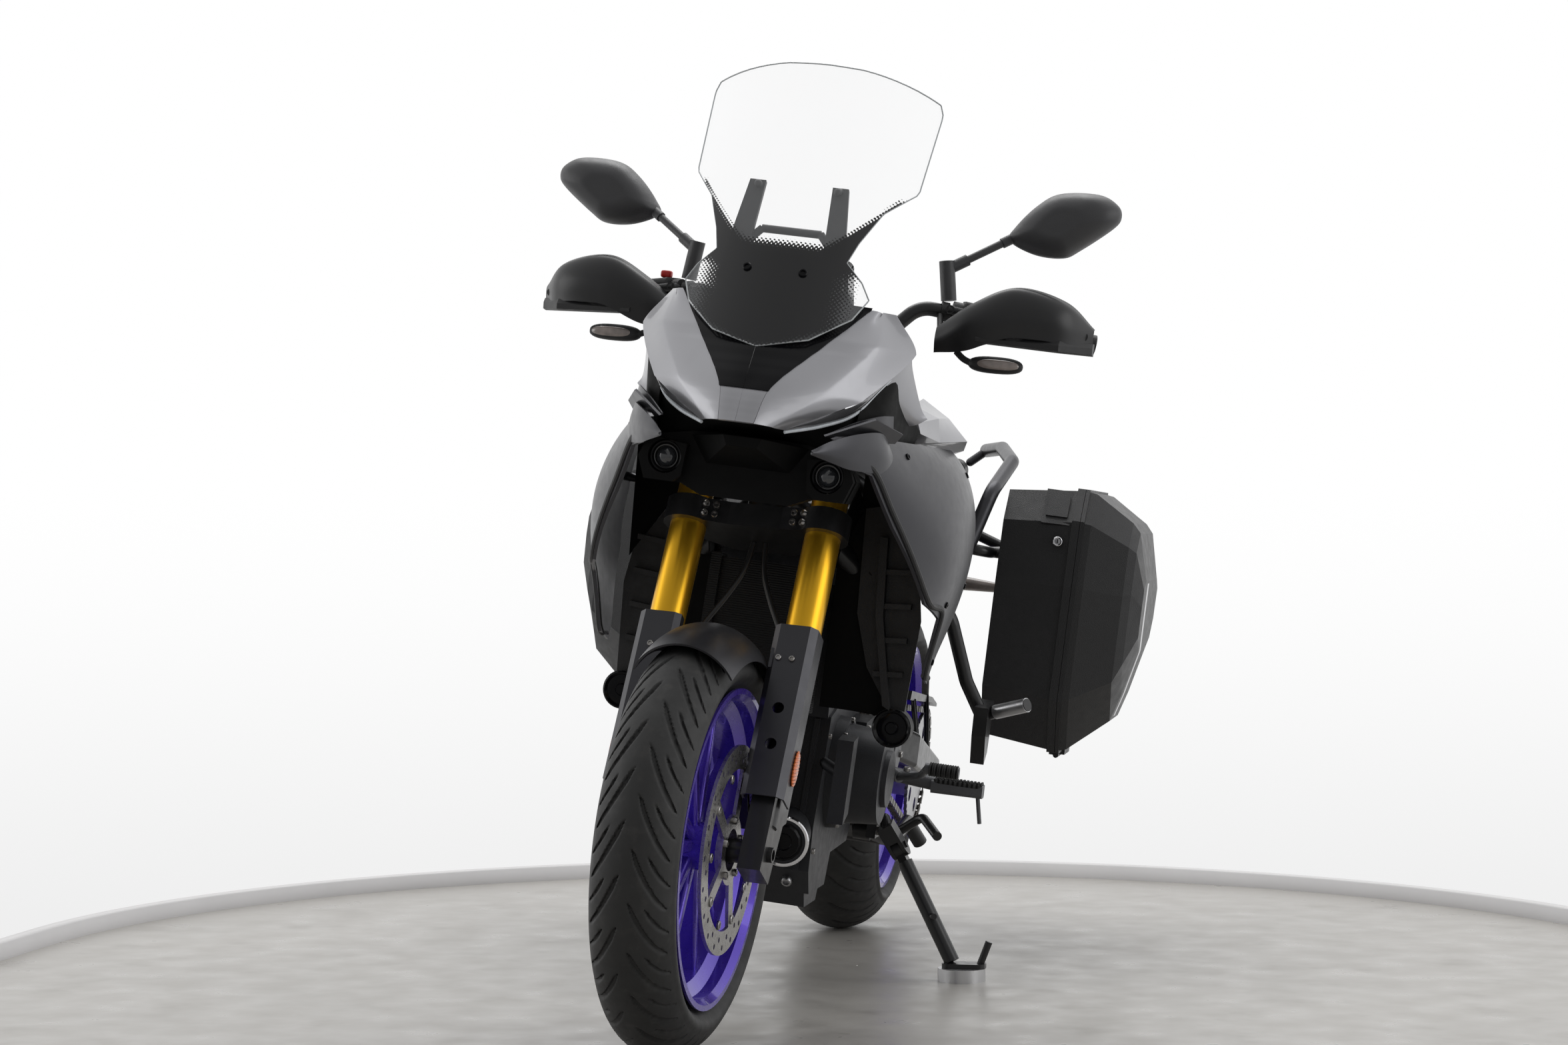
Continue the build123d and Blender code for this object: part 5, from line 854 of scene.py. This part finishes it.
def on_both(name, shape, finish, slot, sharp=35.0):
    """A shape drawn on the left and its mirror image on the right; {} in the slot stands for the side."""
    return [drawn(f"{name}_{label}", on_side(shape, side), finish, "chassis", slot.format(label), sharp=sharp)
            for side, label in SIDES]


NOSE_LEVELS = (901.0, 955.0, 1033.0, 1086.0)
NOSE_LINES = np.array((
    ((0, -61), (24, -56), (46, -34), (58, -10)),
    ((0, -27), (36, -22), (104, 22), (152, 74)),
    ((0, 36), (96, 68), (156, 106), (203, 180)),
    ((0, 76), (138, 131), (152, 152), (166, 186)),
), float)
NOSE_STEPS = 300


def nose_grid(low, high, inner, outer, rows, columns, sink=0.0):
    """The nose's surface from level to level and from one line down it to another, sunk by a depth.

    Lines 0 to 3 run down the nose: its middle, the edge of the black panel, the crease and the outer edge.
    From level to level each line is 0.55 of a smooth path and 0.45 of a straight one. Across them each
    level's section is 0.7 of a cubic through the four lines and 0.3 of straight runs.
    """
    level = np.linspace(low, high, rows)
    place = np.interp(level, NOSE_LEVELS, np.arange(4.0)) / 3.0
    lines = NOSE_LINES.reshape(4, -1)
    smooth = smooth_path(lines, NOSE_STEPS + 1)
    down = np.linspace(0, 3, NOSE_STEPS + 1)
    straight = np.stack([np.interp(down, np.arange(4), line) for line in lines.T], -1)
    blended = 0.55 * smooth + 0.45 * straight
    sections = blended[np.round(place * NOSE_STEPS).astype(int)].reshape(rows, 4, 2)
    first = sections[:, 1:2] * [-1.0, 1.0]
    line = np.linspace(inner, outer, columns)
    low_line = np.minimum(line.astype(int), 2)
    t = (line - low_line)[None, :, None]
    known = np.concatenate([first, sections, 2 * sections[:, 3:] - sections[:, 2:3]], axis=1)
    before, here, after, beyond = (known[:, low_line + shift] for shift in range(4))
    curved = 0.5 * (2 * here + (after - before) * t + (2 * before - 5 * here + 4 * after - beyond) * t**2
                    + (3 * here - before - 3 * after + beyond) * t**3)
    plan = 0.7 * curved + 0.3 * ((1 - t) * here + t * after)
    grid = np.concatenate([plan, np.broadcast_to(level[:, None, None], plan.shape[:2] + (1,))], -1)
    return grid - sink * grid_normals(grid)


chin = nose_grid(901.0, 955.0, 0.0, 1.0, 16, 14)
wing = nose_grid(901.0, 1086.0, 1.0, 3.0, 60, 50)
panel = nose_grid(948.0, 1090.0, 0.0, 1.02, 30, 24, sink=-2.5)
cheek = ruled(((199.5, 178, 1030), (201, 200, 1008), (212, 250, 960), (222, 262, 944)),
              ((173, 123.5, 990), (178, 150, 972), (188, 210, 944), (196, 250, 930)), 3.0, bulge=3.0)
for name, shape, finish, node, sharp in (
    ("cowl_chin", sheet_of(chin, 3.0), silver_paint, "nose_cowl", 50.0),
    ("cowl_wing", sheet_of(wing, 3.0), silver_paint, "nose_cowl", 50.0),
    ("cowl_cheek", cheek, silver_paint, "nose_cowl", 35.0),
    ("nose_screen", sheet_of(panel, 2.0), gloss_black, "nose_panel", 50.0),
):
    for made in on_both(name, shape, finish, node, sharp):
        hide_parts(node)

LENS_EDGE = ((60, 0, 897), (104, 40, 912), (140, 88, 934), (166, 124, 974), (190, 160, 1012))
lens_wedge = ruled(((58, -6, 902), (104, 31, 926), (150, 76, 952), (178, 126, 992), (196, 170, 1022)),
                   LENS_EDGE, 2.5, bulge=2.0)
on_both("lens_wedge", lens_wedge, wedge_glass, "headlamps")
for side, label in SIDES:
    path = smooth_path(LENS_EDGE, 40) * [side, 1, 1] + [0, -2, -1]
    strip = piece("light_strip_" + label, *tube_on(on_bike(path), 2.4 * MM, 10), light_strip,
                  "chassis", "headlamps")
    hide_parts("headlamps")

# dark sheets of painted shade that fill the gaps behind the nose, where shade falls: each a name and its
# upper and lower edge
SHADE_SHEETS = (
    ("under_cowl", ((0, -36, 908), (50, -10, 908), (100, 40, 922), (138, 88, 946), (180, 156, 1006)),
     ((0, 66, 884), (52, 70, 884), (100, 76, 878), (146, 96, 868), (172, 150, 880))),
    ("side_cowl", ((148, 94, 945), (184, 150, 990), (192, 205, 975), (200, 250, 945), (208, 300, 925)),
     ((142, 70, 872), (166, 110, 884), (180, 160, 896), (192, 240, 902), (202, 300, 904))),
    ("behind_lamps", ((118, 405, 884), (180, 405, 892), (244, 405, 892)),
     ((118, 405, 780), (160, 405, 792), (234, 405, 680))),
    ("beside_radiator", ((94, 399, 704), (110, 399, 760), (128, 399, 800)),
     ((94, 399, 490), (150, 399, 490), (214, 399, 486))),
    ("above_radiator", ((94, 330, 704), (110, 340, 790), (120, 350, 830)),
     ((94, 399, 704), (112, 399, 764), (128, 399, 800))),
)
for name, upper, lower in SHADE_SHEETS:
    on_both(name, ruled(upper, lower, 2.0), shadow_black, "lamp_panel")

# the spear over each lamp, where the fairing's top edge runs forward to a point
spear = ruled(((108, -38, 875), (132, -8, 893), (163, 42, 908), (184, 106, 912), (186, 172, 892)),
              ((108, -38, 869), (134, 0, 861), (155, 38, 855), (189, 112, 855), (203, 182, 857)),
              3.0, bulge=4.0)
on_both("spear", spear, satin_grey, "fairing_{}")
blade = ruled(((122, 10, 902), (150, 50, 922), (176, 96, 936), (190, 140, 940)),
              ((122, 10, 899), (152, 52, 912), (178, 98, 920), (192, 140, 922)), 2.5)
on_both("spear_blade", blade, satin_grey, "lamp_panel")

TRIM_EDGE = ((40, 873), (92, 858), (155, 788), (261, 680), (335, 658), (357, 568), (400, 556))


def fairing_trim(node, side):
    """The black bead along a fairing's leading edge: a tube on points found on its face."""
    looks = inward(400, 0, smooth_path(TRIM_EDGE, 46), (side,))
    path = np.array([seated(node, on_bike(start), on_bike(end))[0] for start, end in looks])
    piece("trim_" + node, *tube_on(path, 5.0 * MM, 10), moulded_black, "chassis", node)


fairing_trim("fairing_left", 1)
fairing_trim("fairing_right", -1)


# ---- Rounded skins over the mirrors and the hand guards ------------------------------------------
def closed_path(points, per_side):
    """A smooth closed path through points, with the same number of steps between each two."""
    points = np.asarray(points, float)
    padded = np.concatenate([points[-3:], points, points[:3]])
    path = smooth_path(padded, per_side * (len(padded) - 1) + 1)
    return path[3 * per_side:(3 + len(points)) * per_side]


# the housing from its rim to its back: each ring's depth and its share of the outline
MIRROR_RINGS = (
    (503.2, 0.95), (498, 1.012), (482, 0.975), (465.5, 0.80), (455, 0.50), (453.6, 0.25), (453.2, 0.0),
)
STEM_FROM, STEM_TO = np.array([199.0, 441.0, 1171.0]), np.array([296.0, 490.0, 1236.0])
# the stem's thicker parts: the share of its length that each covers, and its radius
STEM_PARTS = (("knuckle", (0.0, 0.30), 9.0), ("collar", (0.78, 1.02), 8.0))
GUARD_LINES = np.array((
    ((206, 392, 1082), (206, 379, 1079), (206, 371, 1060), (206, 375, 1041)),
    ((258, 388, 1121), (258, 366, 1115), (258, 353, 1086), (258, 359, 1047)),
    ((322, 392, 1150), (322, 368, 1143), (322, 351, 1106), (322, 355, 1071)),
    ((396, 404, 1135), (396, 384, 1127), (396, 373, 1102), (396, 377, 1071)),
    ((437, 442, 1099), (437, 435, 1096), (437, 432, 1088), (437, 435, 1071)),
), float)


def mirror_skin():
    """The housing as rings of its outline: ring k is its middle + share k of the outline, at depth k."""
    depth, share = smooth_path(MIRROR_RINGS, 40).T[:, :, None]
    outline = closed_path(MIRROR_OUTLINE, 8)
    ring = MIRROR_MIDDLE + (outline - MIRROR_MIDDLE) * np.clip(share, 0, None)[..., None]
    points = np.stack([ring[..., 0], depth + 0 * ring[..., 0], ring[..., 1]], -1)
    return points.reshape(-1, 3), grid_faces(len(depth), len(outline), columns_closed=True)


def guard_skin():
    """The guard's face, smooth along its five sections and across the four lines that run its length."""
    along = smooth_path(GUARD_LINES.reshape(5, -1), 48).reshape(-1, 4, 3)
    face = smooth_path(along.transpose(1, 0, 2).reshape(4, -1), 22).reshape(22, -1, 3)
    return sheet_of(face, 1.2)


for side, label in SIDES:
    housing = on_side(mirror_skin(), side)
    drawn("mirror_skin_" + label, housing, mirror_grey, "fork", "mirrors", on_fork, 60.0)
    for part, run, radius in STEM_PARTS:
        stem = STEM_FROM + np.linspace(*run, 8)[:, None] * (STEM_TO - STEM_FROM)
        drawn(f"mirror_{part}_{label}", on_side(tube_on(stem, radius, 20), side), mirror_grey,
              "fork", "mirrors", on_fork)
    guard = on_side(guard_skin(), side)
    drawn("guard_skin_" + label, guard, guard_black, "fork", "hand_guards", on_fork, 60.0)


# ---- Turn signals, switches, pegs ----------------------------------------------------------------
def turn_signal(side):
    """An oval lens let into an oval dark housing, both rounded blocks on the same axes."""
    centre = np.array([side * 301.0, 384.0, 1030.0])
    axes = np.array([[side, 0.0, 0.0], [0.0, 0.15, 1.0], [0.0, -1.0, 0.15]])
    housing = pebble(centre, axes, (42.0, 12.5, 11.0), 0.75)
    lens = pebble(centre + [side * 3, -3.5, 0], axes, (35.0, 9.0, 9.6), 0.8)
    drawn(f"signal_housing_front_{side}", housing, moulded_black, "fork", "front_indicators", on_fork)
    drawn(f"signal_lens_front_{side}", lens, smoked_lens, "fork", "front_indicators", on_fork)


turn_signal(-1)
turn_signal(1)
STALK = ((238, 388, 1046), (250, 386, 1036), (264, 384, 1030))
stalks = joined(*[tube_on(smooth_path(np.array(STALK) * [side, 1, 1], 8), 5.0, 10) for side in (-1, 1)])
stalks = drawn("signal_stalks", stalks, moulded_black, "fork", "front_indicators", on_fork)
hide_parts("front_indicators")

STRAIGHT = np.eye(3)
rocker = pebble((-248, 452, 1131), STRAIGHT, (9.0, 7.0, 6.0), 0.5, 10)
drawn("kill_switch", rocker, switch_red, "fork", "switchgear", on_fork)

# rubber on the rider's pegs and the shift lever, sleeves on the passenger's pegs
pads = joined(*[pebble((side * 272, 840, 362), STRAIGHT, (41.0, 17.5, 4.0), 0.2, 10) for side in (-1, 1)])
drawn("peg_pads", pads, peg_rubber, "chassis", "rider_footrests")
ribs = joined(*[pebble((side * across, 840, 365), STRAIGHT, (2.0, 16.5, 3.6), 0.3, 6)
                for side in (-1, 1) for across in range(238, 311, 6)])
drawn("peg_ribs", ribs, peg_rubber, "chassis", "rider_footrests")
TOE_Y, TOE_Z = 652.0, 396.0


def toe_rubber():
    """A ribbed sleeve along x: its points stand 1 + 0.05 sin(2 pi x / 4) times as far from its middle."""
    points, faces = tube_on(np.linspace((244, TOE_Y, TOE_Z), (290, TOE_Y, TOE_Z), 80), 11.0, 24)
    middle = points * [1, 0, 0] + [0, TOE_Y, TOE_Z]
    groove = 1.0 + 0.05 * np.sin(2 * math.pi * points[:, :1] / 4.0)
    return middle + groove * (points - middle), faces


drawn("toe_rubber", toe_rubber(), peg_rubber, "chassis", "rider_footrests")
sleeves = joined(*[tube_on(np.linspace((side * 296, 1044, 474), (side * 351, 1010.6, 495.6), 12), 12.4, 24)
                   for side in (-1, 1)])
drawn("peg_sleeves", sleeves, aluminium, "chassis", "passenger_footrests")

horn = lathe(((0, 5), (8, 5), (10, 2), (19, 3), (23, 1), (27, 4), (29.5, 2), (29.5, -2), (0, -2)), 40)
set_on("horns", horn, both([(212, 378, 474)]), FORWARD, gloss_black, "chassis", "front_ducts")
FILTER_END, FILTER_AXIS = [(74, 350, 282)], np.array([12.0, -95.0, -8.0])
filter_ring = lathe(((33, -0.5), (34, 1.6), (37.6, 1.6), (39.2, -0.5), (39.2, -7), (37, -7)), 56)
set_on("filter_ring", filter_ring, FILTER_END, FILTER_AXIS, chrome, "chassis", "engine")
filter_cap = lathe(((0, 1.0), (12, 1.0), (14, 3.4), (24, 3.4), (27, 0.6), (30, 0.6), (30, -1), (0, -1)), 14)
set_on("filter_cap", filter_cap, FILTER_END, FILTER_AXIS, gloss_black, "chassis", "engine")
screws("drain_plug", "engine", "chassis", [((70, 380, 212), (70, 700, 212))], 9.0, 8.0, steel)


# ---- Chain ---------------------------------------------------------------------------------------
CHAIN_PITCH = 15.875
CHAIN_X = 112.0
FRONT_SPROCKET, FRONT_SPROCKET_RADIUS = np.array([800.0, 430.0]), 46.5
REAR_SPROCKET, REAR_SPROCKET_RADIUS = np.array([WHEELBASE, REAR_TYRE_RADIUS]), 112.5


def chain_pins():
    """Pins evenly along the belt that wraps two circles: two straight runs and an arc about each.

    With d between centres and a = asin((R - r) / d), the belt leaves each circle where its normal is
    tilted by a.
    """
    gap = REAR_SPROCKET - FRONT_SPROCKET
    distance = np.linalg.norm(gap)
    along, normal = gap / distance, np.array([-gap[1], gap[0]]) / distance
    tilt = math.asin((REAR_SPROCKET_RADIUS - FRONT_SPROCKET_RADIUS) / distance)

    def arc(middle, radius, start, end):
        """middle + r (cos a along + sin a normal) from a start angle to an end angle."""
        turn = np.linspace(start, end, 90)[:, None]
        return middle + radius * (np.cos(turn) * along + np.sin(turn) * normal)

    quarter = math.pi / 2
    loop = np.concatenate([
        arc(FRONT_SPROCKET, FRONT_SPROCKET_RADIUS, quarter + tilt, 3 * quarter - tilt),
        arc(REAR_SPROCKET, REAR_SPROCKET_RADIUS, -quarter - tilt, quarter + tilt),
    ])
    loop = np.concatenate([loop, loop[:1]])
    length = np.concatenate([[0], np.cumsum(np.linalg.norm(np.diff(loop, axis=0), axis=1))])
    count = 2 * round(length[-1] / CHAIN_PITCH / 2)
    at = np.arange(count) * length[-1] / count
    y, z = (np.interp(at, length, line) for line in loop.T)
    return np.stack([CHAIN_X + 0 * y, y, z], -1)


def chain():
    """Narrow and wide pairs of plates by turns, between pins, and a roller on each pin."""
    pins = chain_pins()
    following = np.roll(pins, -1, 0)
    middles = (pins + following) / 2
    run = unit(following - pins)
    sideways = np.broadcast_to([1.0, 0.0, 0.0], run.shape)
    axes = np.stack([run, np.cross(sideways, run), sideways], 1)
    links = []
    for start, reach in ((0, 5.2), (1, 7.0)):
        for side in (-1, 1):
            points, faces = block(24.0, 11.0, 1.6)
            links.append(copies((points + [0, 0, side * reach], faces), middles[start::2], axes[start::2]))
    roller = ((0, -7.4), (3.2, -7.4), (3.2, -4.4), (5.2, -4.4), (5.2, 4.4), (3.2, 4.4), (3.2, 7.4), (0, 7.4))
    links.append(copies(lathe(roller, 8), pins, axes))
    made = drawn("chain_links", joined(*links), chain_steel, "chassis", "drive_chain")
    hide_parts("drive_chain")


chain()

# ---- Side cases ----------------------------------------------------------------------------------
LOCK_RING = lathe(((0, 0.6), (5.4, 0.6), (5.8, 2.2), (7.4, 2.4), (8.4, 1.4), (8.6, -1), (0, -1)), 28)
LOCK_AXES = np.array([[1.0, 0.0, 0.0], [0.0, 0.0, 1.0], [0.0, -1.0, 0.0]])
STRIP_TOP, STRIP_FOOT, STRIP_SWEEP = 722.0, 476.0, 26.0


def case_strip():
    """The pale strip down a lid's outer face, 1.6 mm thick and 0.3 mm proud of it.

    It follows the face's bends from its top to its lower edge, and its lower end sweeps back by 26 t^2 mm.
    """
    z = np.linspace(STRIP_TOP, STRIP_FOOT, 60)
    face = np.interp(z, (470, 516, 600, 726), (475, 489, 509, 509)) + 0.3
    grid_z, grid_y = np.meshgrid(z, np.linspace(1302, 1338, 5), indexing="ij")
    grid_y = grid_y + STRIP_SWEEP * ((STRIP_TOP - grid_z) / (STRIP_TOP - STRIP_FOOT)) ** 2
    outer = np.stack([face[:, None] + 0 * grid_y, grid_y, grid_z], -1)
    loop = np.concatenate([outer, outer[:, ::-1] - [1.6, 0, 0]], axis=1)
    start, end = (np.repeat(ring.mean(1, keepdims=True), 10, axis=1) for ring in (loop[:1], loop[-1:]))
    rings = np.concatenate([start, loop, end])
    return rings.reshape(-1, 3), grid_faces(len(rings), 10, columns_closed=True)


for side, label in SIDES:
    shell = "case_shell_" + label
    set_on("lock_ring_" + label, LOCK_RING, [(side * 352, 1162.6, 778)], FORWARD, chrome, "chassis", shell)
    keyway = pebble((side * 352, 1161.8, 778), LOCK_AXES, (0.9, 3.6, 0.5), 0.4, 8)
    drawn("lock_slot_" + label, keyway, gloss_black, "chassis", shell)
    drawn("case_strip_" + label, on_side(case_strip(), side), aluminium, f"{label}_lid", "case_lid_" + label)

# ---- Studio --------------------------------------------------------------------------------------
scene = bpy.context.scene
scene.view_settings.view_transform = "Standard"

camera_data = bpy.data.cameras.new("camera")
camera_data.lens = 72.2
camera_data.sensor_width = 36.0
camera_data.clip_end = 200.0
camera = bpy.data.objects.new("camera", camera_data)
camera.location = (0.8800, -5.1286, 0.7342)
camera.rotation_euler = (math.radians(90.26), 0.0, math.radians(10.39))
scene.collection.objects.link(camera)
scene.camera = camera


def studio_world():
    """A white room: full white where it is seen, and dimmer from the front for the light that it gives."""
    world = bpy.data.worlds.new("studio")
    scene.world = world
    world.use_nodes = True
    tree_nodes, links = world.node_tree.nodes, world.node_tree.links
    background = tree_nodes["Background"]
    direction = tree_nodes.new("ShaderNodeTexCoord").outputs["Generated"]
    split = tree_nodes.new("ShaderNodeSeparateXYZ")
    links.new(direction, split.inputs["Vector"])

    def eased(way, *limits):
        """A direction's part, carried smoothly from its own two limits onto two others."""
        ramp = tree_nodes.new("ShaderNodeMapRange")
        ramp.interpolation_type = "SMOOTHSTEP"
        for name, number in zip(("From Min", "From Max", "To Min", "To Max"), limits):
            socket(ramp, name, number)
        links.new(split.outputs[way], ramp.inputs["Value"])
        return ramp.outputs["Result"]

    choice = tree_nodes.new("ShaderNodeMix")
    choice.data_type = "FLOAT"
    links.new(tree_nodes.new("ShaderNodeLightPath").outputs["Is Camera Ray"], choice.inputs[0])
    links.new(eased("Y", -0.80, 0.35, 0.36, 0.95), choice.inputs[2])
    choice.inputs[3].default_value = 1.0
    links.new(choice.outputs[0], background.inputs["Strength"])
    links.new(eased("Z", -0.16, 0.02, 0.84, 1.0), background.inputs["Color"])


def soft_lamp(name, place, aim, width, height, watts):
    """A large rectangular lamp that faces a point."""
    lamp = bpy.data.lights.new(name, "AREA")
    lamp.shape = "RECTANGLE"
    lamp.size = width
    lamp.size_y = height
    lamp.energy = watts
    lamp_object = bpy.data.objects.new(name, lamp)
    lamp_object.location = place
    lamp_object.rotation_euler = (Vector(aim) - Vector(place)).to_track_quat("-Z", "Y").to_euler()
    scene.collection.objects.link(lamp_object)


studio_world()
soft_lamp("lamp_left", (4.0, -1.2, 1.8), (0.0, 0.0, 0.7), 2.4, 2.4, 26)
soft_lamp("lamp_right", (-4.0, -1.2, 1.8), (0.0, 0.0, 0.7), 2.4, 2.4, 26)
soft_lamp("lamp_above", (0.0, 1.5, 4.0), (0.0, 0.2, 0.6), 3.0, 2.2, 60)

STAGE_RADIUS = 1.467
STAGE_CENTRE = np.array([0.031, 0.196, 0.0])
STAGE_REACH = 3.0
KERB_HEIGHT = 0.028


def staged(name, points, faces, finish):
    """A piece of the studio, which isn't part of the machine."""
    mesh = new_mesh(name, points, faces)
    finished(mesh, finish)
    new_object(name, mesh)


def studio_floor():
    """A floor of polished screed inside a low pale kerb: rings about its centre, drawn out toward the viewer.

    A point at angle a and radius r lies at (r cos a, k r sin a), where k is 3 in front and 1 behind.
    """
    screed = surface("screed", (0.40, 0.385, 0.36), 0.34, vary=0.05, vary_scale=1.6, wear=(0.34, 0.325, 0.30),
                     roughness_vary=0.08, grain=0.03, grain_scale=300)
    kerb = surface("kerb", (0.66, 0.65, 0.65), 0.6, vary=0.02)
    angle = turns(256)[:, None]
    across, reach = np.cos(angle), np.where(np.sin(angle) < 0, STAGE_REACH, 1.0) * np.sin(angle)

    def drawn_out(radius, height):
        """Rings of the given radii at the given heights."""
        return STAGE_CENTRE + np.stack([radius * across, radius * reach, height + 0 * angle], -1)

    floor_radius = np.array([0.001, 0.4, 0.8, 1.2, STAGE_RADIUS + 0.01])
    floor_faces = grid_faces(256, len(floor_radius), rows_closed=True)[:, ::-1]
    staged("floor", drawn_out(floor_radius, 0 * floor_radius), floor_faces, screed)
    kerb_radius = STAGE_RADIUS + np.array([0.0, 0.004, 0.03, 0.034])
    kerb_height = np.array([0.0, KERB_HEIGHT, KERB_HEIGHT + 0.002, 0.0])
    staged("kerb", drawn_out(kerb_radius, kerb_height), grid_faces(256, 4, rows_closed=True), kerb)


studio_floor()
